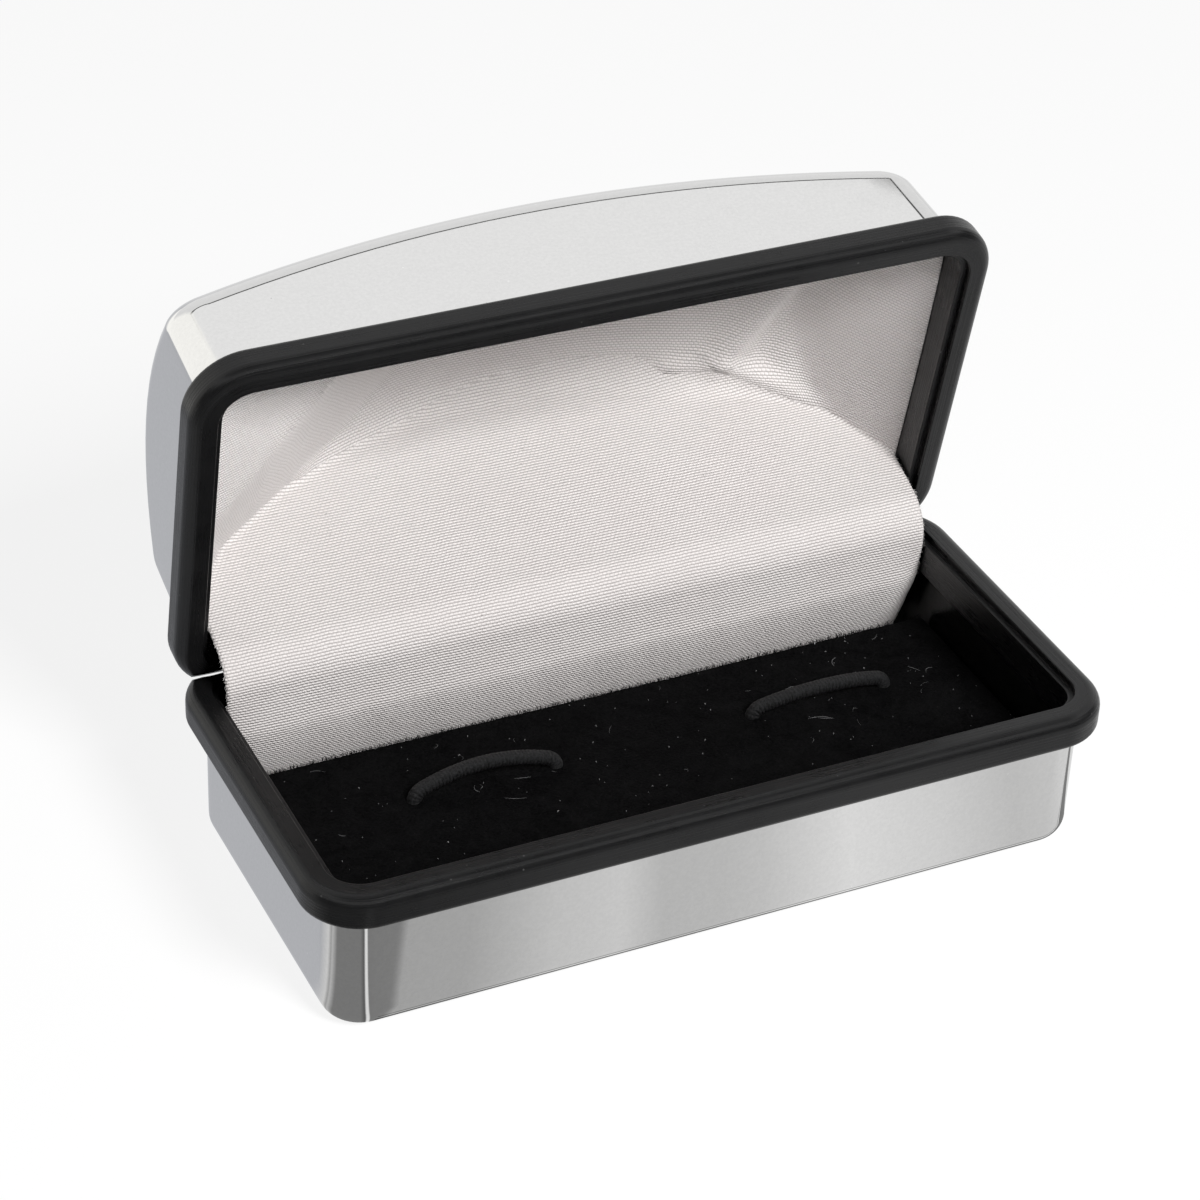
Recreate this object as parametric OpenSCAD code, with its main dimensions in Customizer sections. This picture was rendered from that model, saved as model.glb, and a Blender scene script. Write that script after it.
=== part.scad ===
// Cufflink display box: a pressed steel base tray and a domed steel lid, each
// edged by a moulded black rim frame, joined at the rear by a riveted knuckle
// hinge with an over-centre spring. A velvet pad with two elastic loops fills
// the base, and a satin lining runs out of the lid and down behind the pad.
// Origin: centre of the underside. X is the length, -Y the front, +Z up.
// The lid is drawn standing open on its stop.

/* [Rim] */
// Length of the rim frames over their outer faces
rim_w = 93; // [80:1:110]
// Depth of the rim frames, front to back
rim_d = 45.5; // [40:0.5:60]
// Height of the base rim above the table
rim_z = 19; // [16:0.5:26]
// Plan radius of the rim corners
rim_corner = 6.7; // [6:0.1:9]
// Height of the bead that overhangs the steel
bead_h = 3.9; // [3.2:0.1:5]
// Radius along the bead's outer edge at the mating face
bead_round = 1.45; // [0.8:0.05:1.6]
// Radius along the bead's outer edge at its underside
bead_under_round = 0.8; // [0.4:0.05:1]
// Width of the mating face and its rounded edge
rim_land = 2.9; // [2.5:0.1:3.1]
// Distance from the bead's outer face to the inside of the skirt
skirt_in = 3.6; // [3.4:0.05:4.2]
// Depth of the skirt below the mating face
skirt_depth = 4.9; // [4:0.1:7]
// Depth of the small step along the inner edge
step_depth = 0.8; // [0.4:0.1:1.2]
// How far the steel edge sits below the mating face
steel_edge_depth = 2; // [1.8:0.1:2.6]
// Gap left between the two mating faces when shut
rim_gap = 0.3; // [0.2:0.05:0.5]

/* [Steel] */
// Overhang of the bead past the steel wall
overhang = 2.2; // [1.8:0.1:2.4]
// Sheet thickness of the base tray
base_wall = 0.5; // [0.4:0.05:0.6]
// Sheet thickness of the lid
lid_wall = 0.5; // [0.4:0.05:0.6]
// Radius along the bottom edge of the tray
tray_edge = 2.6; // [1.5:0.1:3.6]
// Clearance between the steel and the groove in the frame
steel_fit = 0.08; // [0.06:0.01:0.1]

/* [Lid dome] */
// Height of the crown above the lid's mating face
dome_h = 27.8; // [24:0.2:32]
// How far the crown falls from its middle to either end
arch_drop = 6.2; // [3:0.1:8]
// How far the crown falls from its middle to the front and the rear
crown_drop = 6.8; // [3:0.1:8]
// Radius of the rolled edge between the walls and the crown
dome_edge = 2.7; // [1.5:0.1:3]
// How far the walls draw in between the bead and the rolled edge
wall_draw = 0.4; // [0:0.05:0.6]

/* [Hinge] */
// Angle between shut and the open stop, degrees
open_angle = 78.5; // [70:0.5:90]
// Distance from the rear of the rim to the hinge axis
axis_in = 3; // [2.9:0.05:3.2]
// Outer radius of the knuckles
knuckle_r = 1.25; // [1.1:0.05:1.3]
// Radius of the hinge pin
pin_r = 0.6; // [0.5:0.05:0.7]
// Running clearance between pin and knuckles
pin_fit = 0.03; // [0.02:0.01:0.08]
// Length of the hinge barrel
hinge_len = 48; // [36:1:60]
// Axial gap between knuckles
knuckle_gap = 0.2; // [0.1:0.05:0.4]
// Thickness of the leaves
leaf_t = 0.5; // [0.4:0.05:0.6]
// How far a leaf reaches from the axis
leaf_reach = 5; // [4.7:0.05:5.1]
// Radius of the leaf's outer corners
leaf_corner = 1.2; // [0.6:0.1:1.8]
// Clearance round the barrel
barrel_clear = 0.3; // [0.25:0.05:0.4]
// Distance from the axis to the row of rivets
rivet_reach = 3.2; // [3:0.05:3.4]
// Spacing of the two rivets of a leaf
rivet_pitch = 34; // [24:1:40]
// Radius of the rivet shank
rivet_r = 0.75; // [0.6:0.05:0.8]
// Radius of the rivet head
rivet_head_r = 1.3; // [1.1:0.05:1.4]
// Height of the rivet head
rivet_head_h = 0.45; // [0.3:0.05:0.6]
// Clearance of the rivet in its holes
rivet_fit = 0.03; // [0.02:0.01:0.06]
// Radius of the peened ends of the pin
pin_head_r = 0.95; // [0.85:0.05:1.1]
// Thickness of the peened ends of the pin
pin_head_h = 0.35; // [0.25:0.05:0.5]
// Width of the over-centre spring
spring_w = 7; // [5:0.5:8]
// Thickness of the spring strip
spring_t = 0.3; // [0.2:0.05:0.35]
// Clearance between the spring and the knuckles and leaves
spring_fit = 0.25; // [0.2:0.05:0.3]
// Length of each straight leg of the spring
spring_leg = 4.5; // [3.5:0.25:4.75]

/* [Pad] */
// Height of the velvet surface above the table
pad_z = 8.5; // [8:0.1:11]
// Rear edge of the pad
pad_rear_y = 14.5; // [13:0.1:15]
// Gap between the pad and the tray's wall at the front and the ends
pad_gap = 0.4; // [0.3:0.05:0.8]
// Plan radius of the pad's two rear corners
pad_rear_corner = 0.8; // [0.4:0.1:2]
// Thickness of the velvet
velvet_t = 0.7; // [0.4:0.05:1]
// Thickness of the foam sheet
foam_t = 1.9; // [1.4:0.1:2.4]
// Thickness of the pad's board
board_t = 2; // [1.5:0.1:2.4]
// Wall thickness of the card spacer under the board
riser_t = 1.4; // [1:0.1:2]
// Distance from the pad's edge to the card spacer
riser_in = 2.4; // [1:0.1:4]
// Gap between one layer of the pad and the next
layer_gap = 0.05; // [0.03:0.01:0.1]

/* [Elastic loops] */
// Distance from the pad's left end to the centre of the left loop
loop_left_in = 26.4; // [16:0.1:28]
// Distance from the pad's right end to the centre of the right loop
loop_right_in = 19.4; // [16:0.1:28]
// Place of both loops, front to back
loop_y = 4; // [-4:0.5:6]
// Distance between the two feet of a loop
loop_span = 17; // [14:0.5:20]
// Height of a loop's centre line over the velvet at its middle
loop_rise = 2.6; // [2.3:0.1:4]
// Radius at which a loop turns down into the pad
loop_bend_r = 1.6; // [1.4:0.1:2.2]
// Radius of the braided elastic
loop_r = 1.1; // [0.8:0.05:1.3]
// Clearance of the elastic in the pad
loop_fit = 0.2; // [0.1:0.05:0.3]
// Radius of the crimps under the board
crimp_r = 1.9; // [1.7:0.05:2.2]
// Height of the crimps
crimp_h = 1.8; // [1.2:0.1:2]

/* [Lining] */
// Clearance between the steel lid and the wadding
wadding_fit = 0.3; // [0.2:0.05:0.4]
// Thickness of the wadding
wadding_t = 1.4; // [1:0.1:1.6]
// Clearance between the wadding and the satin
satin_fit = 0.1; // [0.05:0.05:0.2]
// Thickness of the satin with its backing
satin_t = 0.5; // [0.3:0.05:0.6]
// Gap between the lining's edge and the skirt
lining_gap = 0.3; // [0.3:0.05:0.6]
// Gap between the satin curtain and the pad behind which it hangs
curtain_gap = 0.3; // [0.3:0.05:0.6]
// Gap between the satin curtain and the skirts at its two ends
curtain_end_gap = 0.6; // [0.4:0.1:3]
// Height of the curtain's lower hem above the floor of the tray
curtain_hem = 1; // [0.6:0.1:3]
// Angle by which the curtain leans away from the lid's rear wall
curtain_lean = 9.5; // [4:0.5:14]

/* [Hidden] */
$fn = 72;
past = 1;            // how far a cut runs past the face it opens
corner_steps = 6;    // facets round a corner of the dome
long_steps = 11;     // facets along the dome's front and rear
short_steps = 4;     // facets along the dome's ends
edge_steps = 5;      // facets over the dome's rolled edge
crown_steps = 8;     // rings of facets from the rolled edge to the crown
bend_steps = 12;     // flats round each turn of a bent strip
cord_sides = 16;     // facets round an elastic loop
cord_steps = 5;      // rings along each turn of a loop
least_r = 0.3;       // the smallest radius a nested corner is given

rim_hx = rim_w / 2;
rim_hy = rim_d / 2;
steel_hx = rim_hx - overhang;
steel_hy = rim_hy - overhang;
corner_x = rim_hx - rim_corner;
corner_y = rim_hy - rim_corner;
steel_corner = rim_corner - overhang;
steel_top = rim_z - steel_edge_depth;
skirt_out = overhang + max(base_wall, lid_wall) + steel_fit;
skirt_hx = rim_hx - skirt_in;
skirt_hy = rim_hy - skirt_in;

axis_y = rim_hy - axis_in;
axis_z = rim_z + rim_gap / 2;
lid_rim_z = rim_z + rim_gap;
bevel = open_angle / 2;
knuckles = 5;
knuckle_pitch = hinge_len / knuckles;
leaf_back = skirt_hy;
leaf_front = leaf_back - leaf_t;

velvet_under = pad_z - velvet_t;
foam_top = velvet_under - layer_gap;
foam_under = foam_top - foam_t;
board_top = foam_under - layer_gap;
board_under = board_top - board_t;
riser_under = base_wall + layer_gap;
riser_top = board_under - layer_gap;
pad_hx = steel_hx - base_wall - pad_gap;
pad_front_y = base_wall + pad_gap - steel_hy;
pad_front_corner = steel_corner - base_wall - pad_gap;

loop_left_x = loop_left_in - pad_hx;
loop_right_x = pad_hx - loop_right_in;
loop_half = loop_span / 2;
loop_foot_z = pad_z + layer_gap;
loop_slope = 2 * atan((loop_rise - layer_gap - loop_bend_r) / (loop_half - loop_bend_r));
loop_arc_r = loop_bend_r + (loop_half - loop_bend_r) / sin(loop_slope);
crimp_top = board_under - layer_gap;
crimp_under = crimp_top - crimp_h;

wadding_out = lid_wall + wadding_fit;
satin_out = wadding_out + wadding_t + satin_fit;
satin_in = satin_out + satin_t;
lining_edge = skirt_depth + lining_gap;
curtain_face = pad_rear_y + curtain_gap;
curtain_r = axis_y - curtain_face;
curtain_w = 2 * (skirt_hx - curtain_end_gap);
lid_curtain_w = 2 * (steel_hx - satin_in - wall_draw - curtain_end_gap);

// Turns and lifts what is drawn over the shut lid's mating face to the open stop.
module lid_place() {
    translate([0, axis_y, axis_z]) rotate([-open_angle, 0, 0])
        translate([0, -axis_y, lid_rim_z - axis_z]) children();
}

// Half section of the tray's outside or inside: upright wall, round lower edge.
module tray_half(reach, edge, height) {
    translate([reach - edge, edge]) circle(r = edge);
    translate([0, edge]) square([reach, height - edge]);
    square([reach - edge, height]);
}

// Section of the tray's wall and of the floor out to the corner centres.
module tray_section() {
    difference() {
        tray_half(steel_corner, tray_edge, steel_top);
        translate([-past, base_wall])
            tray_half(steel_corner - base_wall + past, tray_edge - base_wall, steel_top);
    }
}

// Sweeps a section round the rim: x of the section is measured outwards from
// the corner centres, y is height over the mating face.
module rim_sweep() {
    for (c = [[1, 1, 0], [-1, 1, 90], [-1, -1, 180], [1, -1, 270]])
        translate([c[0] * corner_x, c[1] * corner_y, 0])
            rotate([0, 0, c[2]]) rotate_extrude(angle = 90) children();
    for (s = [[corner_x, corner_y, 0], [corner_x, corner_y, 180],
              [corner_y, corner_x, 90], [corner_y, corner_x, -90]])
        rotate([0, 0, s[2]]) translate([-s[0], s[1], 0])
            rotate([90, 0, 90]) linear_extrude(2 * s[0]) children();
}

// Section of a rim frame: rounded bead, groove for the steel edge, stepped skirt.
module frame_section() {
    r = rim_corner;
    difference() {
        union() {
            translate([r - skirt_in, -bead_h]) square([skirt_in - bead_round, bead_h]);
            translate([r - skirt_in, -bead_h])
                square([skirt_in - bead_under_round, bead_h - bead_round]);
            translate([r - skirt_in, bead_under_round - bead_h])
                square([skirt_in, bead_h - bead_round - bead_under_round]);
            translate([r - bead_round, -bead_round]) circle(r = bead_round);
            translate([r - bead_under_round, bead_under_round - bead_h])
                circle(r = bead_under_round);
            translate([r - skirt_in, -skirt_depth]) square([skirt_in - skirt_out, skirt_depth]);
        }
        translate([r - skirt_out, -bead_h - past])
            square([skirt_out - overhang + steel_fit,
                    bead_h + past - steel_edge_depth + steel_fit]);
        translate([r - skirt_in - past, -step_depth])
            square([skirt_in - rim_land + past, step_depth + past]);
    }
}

// The two places along the hinge where a rivet goes.
module at_rivets() {
    for (side = [-1, 1]) translate([side * rivet_pitch / 2, 0, 0]) children();
}

// A cylinder along X, centred on the given point of the YZ plane.
module cross_rod(r, length, y, z) {
    translate([-length / 2, y, z]) rotate([0, 90, 0]) cylinder(r = r, h = length);
}

// A rim frame over its mating face, bevelled at the rear so that the two frames
// meet on the plane that halves the opening angle.
module frame_form() {
    lift = rim_gap / 2;
    start = axis_y - lift * tan(bevel / 2);
    run = axis_in + past + lift;
    difference() {
        rim_sweep() frame_section();
        translate([-rim_hx - past, 0, 0]) rotate([90, 0, 90]) linear_extrude(rim_w + 2 * past)
            polygon([[start, 0], [start + run, -run * tan(bevel)],
                     [start + run, past], [start, past]]);
        cross_rod(knuckle_r + barrel_clear, hinge_len + 2 * pin_head_h + 2 * past, axis_y, lift);
        at_rivets() translate([0, leaf_front, lift - rivet_reach]) rotate([-90, 0, 0])
            cylinder(r = rivet_r + rivet_fit, h = axis_in);
    }
}

// One leaf with its knuckles, hanging down from the axis. Even knuckles belong
// to the base, odd ones to the lid.
module leaf_form(parity) {
    middle = (knuckles - 1) / 2;
    width = knuckle_pitch - knuckle_gap;
    plate_top = (knuckle_r + leaf_t) / 2;
    difference() {
        union() {
            for (i = [parity : 2 : knuckles - 1])
                translate([(i - middle) * knuckle_pitch, 0, 0])
                    cross_rod(knuckle_r, width, axis_y, 0);
            translate([0, leaf_back, 0]) rotate([90, 0, 0]) linear_extrude(leaf_t)
                difference() {
                    union() {
                        translate([-hinge_len / 2, leaf_corner - leaf_reach])
                            square([hinge_len, leaf_reach - leaf_corner - plate_top / 2]);
                        translate([leaf_corner - hinge_len / 2, -leaf_reach])
                            square([hinge_len - 2 * leaf_corner, leaf_corner]);
                        for (side = [-1, 1])
                            translate([side * (hinge_len / 2 - leaf_corner),
                                       leaf_corner - leaf_reach])
                                circle(r = leaf_corner);
                    }
                    for (side = [-1, 1]) translate([side * rivet_pitch / 2, -rivet_reach])
                        circle(r = rivet_r + rivet_fit);
                }
        }
        for (i = [1 - parity : 2 : knuckles - 1])
            translate([(i - middle) * knuckle_pitch, 0, 0])
                cross_rod(knuckle_r + knuckle_gap, knuckle_pitch + knuckle_gap, axis_y, 0);
        cross_rod(pin_r + pin_fit, hinge_len + 2 * past, axis_y, 0);
    }
}

// Rivets for one leaf: a flat head inside the leaf and a shank through the skirt.
module rivets_form() {
    shank = rim_hy - skirt_out - leaf_front;
    at_rivets() translate([0, leaf_front, -rivet_reach]) rotate([-90, 0, 0]) {
        cylinder(r = rivet_r, h = shank);
        translate([0, 0, -rivet_head_h]) cylinder(r = rivet_head_r, h = rivet_head_h);
    }
}

// Height of the crown over the mating face at a point of the plan.
function crown_z(p) = dome_h - arch_drop * pow(p[0] / steel_hx, 2)
    - crown_drop * pow(p[1] / steel_hy, 2);

// Points between one point and the next, without either of them.
function between(a, b, steps) = [for (k = [1 : steps - 1]) a + (b - a) * k / steps];

// Points round the steel's plan outline, drawn in by an inset.
function outline(inset) =
    let (r = max(steel_corner - inset, least_r),
         cx = steel_hx - inset - r,
         cy = steel_hy - inset - r,
         centres = [[cx, cy], [-cx, cy], [-cx, -cy], [cx, -cy]],
         arcs = [for (c = [0 : 3]) [for (k = [0 : corner_steps])
                 let (a = 90 * (c + k / corner_steps)) centres[c] + r * [cos(a), sin(a)]]])
    [for (c = [0 : 3]) each concat(arcs[c],
        between(arcs[c][corner_steps], arcs[(c + 1) % 4][0], c % 2 == 0 ? long_steps : short_steps))];

// One skin of the dome at a depth below the steel's outside, as rings of points
// from its lower edge up: the wall, the rolled edge, then the crown.
function dome_rings(depth, floor_z) =
    let (r = max(dome_edge - depth, least_r),
         top = outline(depth + wall_draw + r))
    concat(
        [for (z = [floor_z, max(skirt_depth, floor_z + least_r)])
            [for (p = outline(depth)) [p[0], p[1], z]]],
        [for (k = [0 : edge_steps])
            let (a = 90 * k / edge_steps)
            [for (p = outline(depth + wall_draw + r * (1 - cos(a))))
                [p[0], p[1], crown_z(p) - depth - r * (1 - sin(a))]]],
        [for (k = [1 : crown_steps - 1])
            [for (p = top * (1 - k / crown_steps)) [p[0], p[1], crown_z(p) - depth]]]);

// A nested shell of the dome between two depths, open below.
module dome_shell(outer, inner, floor_z) {
    skins = [dome_rings(outer, floor_z), dome_rings(inner, floor_z)];
    around = len(skins[0][0]);
    rings = len(skins[0]);
    per_skin = rings * around + 1;
    points = [for (s = [0, 1]) each concat([for (ring = skins[s]) each ring],
                                           [[0, 0, dome_h - (s == 0 ? outer : inner)]])];
    outside = [for (k = [0 : rings - 1], i = [0 : around - 1])
        let (j = (i + 1) % around, a = k * around, b = a + around)
        each k < rings - 1 ? [[a + i, b + i, b + j], [a + i, b + j, a + j]]
                           : [[a + i, per_skin - 1, a + j]]];
    inside = [for (f = outside) [f[0], f[2], f[1]] + per_skin * [1, 1, 1]];
    edge = [for (i = [0 : around - 1])
        let (j = (i + 1) % around)
        each [[i, j, per_skin + j], [i, per_skin + j, per_skin + i]]];
    polyhedron(points, concat(outside, inside, edge));
}

// Stations of a strip bent round a line along X, from one angle down through
// another: each is a place [y, z] on the strip's outer face and the direction in
// which that face looks, where 0 degrees is to the rear and 90 degrees up.
function bend(centre, r, from, angle, steps) = [for (k = [0 : steps])
    let (a = from - angle * k / steps) [centre + r * [cos(a), sin(a)], a]];

// The station reached by going straight on from another.
function onward(station, run) =
    [station[0] + run * [sin(station[1]), -cos(station[1])], station[1]];

// The line round which a strip turns on from a station.
function turn_line(station, r) = station[0] - r * [cos(station[1]), sin(station[1])];

// A strip of sheet along X that follows its stations.
module strip(stations, thickness, width) {
    face = [for (s = stations) s[0]];
    back = [for (s = stations) turn_line(s, thickness)];
    ends = len(stations) - 1;
    translate([-width / 2, 0, 0]) rotate([90, 0, 90]) linear_extrude(width)
        polygon(concat(face, [for (i = [ends : -1 : 0]) back[i]]));
}

// The satin's stations: up from the hem, round the hinge axis, then into the lid.
function curtain_stations() =
    let (over = bend([axis_y, axis_z], curtain_r, 180, open_angle - curtain_lean, bend_steps))
    concat([onward(over[0], base_wall + curtain_hem - axis_z)], over,
           [onward(over[bend_steps], dome_h)]);

// What the lid's lining leaves free for the curtain, as seen along Y.
module lid_room() {
    half = lid_curtain_w / 2;
    polygon(concat([[half, skirt_depth], [curtain_w, skirt_depth], [curtain_w, -rim_z],
                    [-curtain_w, -rim_z], [-curtain_w, skirt_depth], [-half, skirt_depth]],
                   [for (k = [0 : long_steps]) let (x = half * (2 * k / long_steps - 1))
                       [x, crown_z([x, curtain_face]) - satin_in - curtain_gap]]));
}

// The spring's stations: up one leaf, round the knuckles, along the other leaf.
function spring_stations() =
    let (bow = bend([axis_y, axis_z], knuckle_r + spring_fit + spring_t, 180, open_angle, bend_steps))
    concat([onward(bow[0], -spring_leg)], bow, [onward(bow[bend_steps], spring_leg)]);

// Plan of the pad, drawn in by an inset: its front corners follow the tray's.
module pad_plan(inset) {
    front = max(pad_front_corner - inset, least_r);
    rear = max(pad_rear_corner - inset, least_r);
    side = pad_hx - inset;
    low = pad_front_y + inset;
    high = pad_rear_y - inset;
    for (s = [-1, 1]) {
        translate([s * (side - front), low + front]) circle(r = front);
        translate([s * (side - rear), high - rear]) circle(r = rear);
    }
    translate([-side, low + front]) square([2 * side, high - low - front - rear]);
    translate([front - side, low]) square([2 * (side - front), front]);
    translate([rear - side, high - rear]) square([2 * (side - rear), rear]);
}

// A block in the plan of the pad, from one height to another.
module pad_block(inset, under, top) {
    translate([0, 0, under]) linear_extrude(top - under) pad_plan(inset);
}

// The four places where a loop's feet go down through the pad.
module at_feet() {
    for (x = [loop_left_x, loop_right_x], side = [-1, 1])
        translate([x + side * loop_half, loop_y, 0]) children();
}

// Holes for the feet of the loops, from one height to another.
module feet_holes(under, top) {
    at_feet() translate([0, 0, under - past])
        cylinder(r = loop_r + loop_fit, h = top - under + 2 * past);
}

// A loop's stations in the XZ plane: up out of the crimp, a tight turn, a low
// arch, a tight turn, and down to the other crimp.
function loop_stations() =
    let (turn_x = loop_half - loop_bend_r,
         foot = loop_foot_z - crimp_under,
         up = bend([-turn_x, loop_foot_z], loop_bend_r, 180, 90 - loop_slope, cord_steps),
         arch = bend([0, pad_z + loop_rise - loop_arc_r], loop_arc_r, 90 + loop_slope,
                     2 * loop_slope, 2 * cord_steps),
         down = bend([turn_x, loop_foot_z], loop_bend_r, 90 - loop_slope, 90 - loop_slope, cord_steps))
    concat([onward(up[0], -foot)], up, [for (k = [1 : 2 * cord_steps - 1]) arch[k]], down,
           [onward(down[cord_steps], foot)]);

// One elastic loop, as a round cord along its stations.
module loop_form(x) {
    stations = loop_stations();
    last = len(stations) - 1;
    points = [for (s = stations, k = [0 : cord_sides - 1])
        let (a = 360 * k / cord_sides, reach = loop_r * cos(a))
        [x + s[0][0] + reach * cos(s[1]), loop_y + loop_r * sin(a), s[0][1] + reach * sin(s[1])]];
    sides = [for (i = [0 : last - 1], k = [0 : cord_sides - 1])
        let (a = i * cord_sides, b = a + cord_sides, n = (k + 1) % cord_sides)
        each [[a + k, b + n, b + k], [a + k, a + n, b + n]]];
    caps = [[for (k = [cord_sides - 1 : -1 : 0]) k],
            [for (k = [0 : cord_sides - 1]) last * cord_sides + k]];
    polyhedron(points, concat(sides, caps));
}

module base_shell() {
    color([0.82, 0.83, 0.85]) {
        rim_sweep() tray_section();
        translate([-corner_x, -corner_y, 0]) cube([2 * corner_x, 2 * corner_y, base_wall]);
    }
}

module base_frame() {
    color([0.06, 0.06, 0.06]) translate([0, 0, rim_z]) frame_form();
}

module pad_riser() {
    color([0.55, 0.5, 0.42]) difference() {
        pad_block(riser_in, riser_under, riser_top);
        pad_block(riser_in + riser_t, riser_under - past, riser_top + past);
    }
}

module pad_board() {
    color([0.6, 0.5, 0.36]) difference() {
        pad_block(velvet_t + layer_gap, board_under, board_top);
        feet_holes(board_under, board_top);
    }
}

module pad_foam() {
    color([0.3, 0.3, 0.32]) difference() {
        pad_block(velvet_t + layer_gap, foam_under, foam_top);
        feet_holes(foam_under, foam_top);
    }
}

module pad_velvet() {
    color([0.03, 0.03, 0.03]) difference() {
        pad_block(0, board_under, pad_z);
        pad_block(velvet_t, board_under - past, velvet_under);
        feet_holes(velvet_under, pad_z);
    }
}

module loop_left() { color([0.05, 0.05, 0.05]) loop_form(loop_left_x); }

module loop_right() { color([0.05, 0.05, 0.05]) loop_form(loop_right_x); }

module loop_crimps() {
    color([0.7, 0.7, 0.72]) at_feet() translate([0, 0, crimp_under]) difference() {
        cylinder(r = crimp_r, h = crimp_h);
        translate([0, 0, -past]) cylinder(r = loop_r + layer_gap, h = crimp_h + 2 * past);
    }
}

module hinge_base_leaf() { color([0.7, 0.7, 0.68]) translate([0, 0, axis_z]) leaf_form(0); }

module hinge_lid_leaf() {
    color([0.7, 0.7, 0.68]) lid_place() translate([0, 0, axis_z - lid_rim_z])
        mirror([0, 0, 1]) leaf_form(1);
}

module hinge_pin() {
    color([0.6, 0.6, 0.62]) {
        cross_rod(pin_r, hinge_len + 2 * pin_head_h, axis_y, axis_z);
        for (side = [-1, 1]) translate([side * (hinge_len + pin_head_h) / 2, 0, 0])
            cross_rod(pin_head_r, pin_head_h, axis_y, axis_z);
    }
}

module hinge_spring() {
    color([0.45, 0.47, 0.5]) strip(spring_stations(), spring_t, spring_w);
}

module hinge_base_rivets() { color([0.7, 0.7, 0.7]) translate([0, 0, axis_z]) rivets_form(); }

module hinge_lid_rivets() {
    color([0.7, 0.7, 0.7]) lid_place() translate([0, 0, axis_z - lid_rim_z])
        mirror([0, 0, 1]) rivets_form();
}

module lid_shell() {
    color([0.82, 0.83, 0.85]) lid_place() dome_shell(0, lid_wall, steel_edge_depth);
}

module lid_frame() {
    color([0.06, 0.06, 0.06]) lid_place() mirror([0, 0, 1]) frame_form();
}

module lid_wadding() {
    color([0.9, 0.9, 0.88]) lid_place()
        dome_shell(wadding_out, wadding_out + wadding_t, lining_edge);
}

module lid_lining() {
    color([0.85, 0.83, 0.82]) lid_place() dome_shell(satin_out, satin_in, lining_edge);
}

module hinge_curtain() {
    color([0.85, 0.83, 0.82]) difference() {
        strip(curtain_stations(), satin_t, curtain_w);
        lid_place() translate([0, axis_y, 0]) rotate([90, 0, 0]) linear_extrude(rim_d)
            difference() {
                translate([-curtain_w, 0]) square([2 * curtain_w, 2 * dome_h]);
                lid_room();
            }
    }
}

base_shell();
base_frame();
pad_riser();
pad_board();
pad_foam();
pad_velvet();
loop_left();
loop_right();
loop_crimps();
hinge_base_leaf();
hinge_lid_leaf();
hinge_pin();
hinge_spring();
hinge_base_rivets();
hinge_lid_rivets();
lid_shell();
lid_frame();
lid_wadding();
lid_lining();
hinge_curtain();
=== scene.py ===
import math
import random

import bmesh
import bpy
import numpy as np
from mathutils import Matrix, Vector


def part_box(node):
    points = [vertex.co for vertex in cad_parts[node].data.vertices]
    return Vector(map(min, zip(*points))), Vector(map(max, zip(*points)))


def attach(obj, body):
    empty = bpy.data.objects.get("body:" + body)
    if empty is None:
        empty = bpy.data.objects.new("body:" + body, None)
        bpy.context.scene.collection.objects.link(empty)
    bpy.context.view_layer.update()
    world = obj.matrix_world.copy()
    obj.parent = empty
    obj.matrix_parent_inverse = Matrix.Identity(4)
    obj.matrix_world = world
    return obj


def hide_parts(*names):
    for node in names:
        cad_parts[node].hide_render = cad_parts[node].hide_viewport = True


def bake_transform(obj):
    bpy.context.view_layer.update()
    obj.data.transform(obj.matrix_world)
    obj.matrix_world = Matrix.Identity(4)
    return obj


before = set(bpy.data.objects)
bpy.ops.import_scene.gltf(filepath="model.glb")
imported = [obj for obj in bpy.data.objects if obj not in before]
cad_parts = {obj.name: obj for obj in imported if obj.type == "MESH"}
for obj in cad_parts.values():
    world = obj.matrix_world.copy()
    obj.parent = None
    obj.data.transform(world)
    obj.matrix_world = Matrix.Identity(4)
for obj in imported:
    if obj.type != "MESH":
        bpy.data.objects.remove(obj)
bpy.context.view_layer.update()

# ---------------------------------------------------------------------------
# Camera: the photograph's view, from the front left and above. Its place is
# given by the direction back to it and by how far the origin lies off the
# middle of the picture.
CAMERA_AZIMUTH, CAMERA_ELEVATION, CAMERA_ROLL = -26.71, 34.05, 2.79
CAMERA_DISTANCE, CAMERA_RIGHT, CAMERA_UP = 0.39601, -0.00429, 0.02521
FOCAL_LENGTH_MM, SENSOR_MM = 107.04, 36.0


def view_axes(azimuth, elevation, roll):
    """The camera's right, up and back directions."""
    a, e, turn = math.radians(azimuth), math.radians(elevation), math.radians(roll)
    back = Vector((math.sin(a) * math.cos(e), -math.cos(a) * math.cos(e), math.sin(e)))
    level = Vector((math.cos(a), math.sin(a), 0))
    above = back.cross(level)
    right = level * math.cos(turn) + above * math.sin(turn)
    up = above * math.cos(turn) - level * math.sin(turn)
    return right, up, back


right, up, back = view_axes(CAMERA_AZIMUTH, CAMERA_ELEVATION, CAMERA_ROLL)
camera = bpy.data.objects.new("camera", bpy.data.cameras.new("camera"))
bpy.context.collection.objects.link(camera)
camera.data.lens = FOCAL_LENGTH_MM
camera.data.sensor_width = SENSOR_MM
camera.data.clip_start, camera.data.clip_end = 0.01, 20
camera.matrix_world = Matrix((
    (right.x, up.x, back.x, 0), (right.y, up.y, back.y, 0), (right.z, up.z, back.z, 0), (0, 0, 0, 1)))
camera.location = back * CAMERA_DISTANCE + right * CAMERA_RIGHT + up * CAMERA_UP
bpy.context.scene.camera = camera

# ---------------------------------------------------------------------------
# Studio: a white floor, a pale tent around and two soft lamps. Only mirror rays see the tent's tones, which
# were set to what the polished steel shows.
bpy.context.scene.view_settings.view_transform = "Standard"


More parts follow.
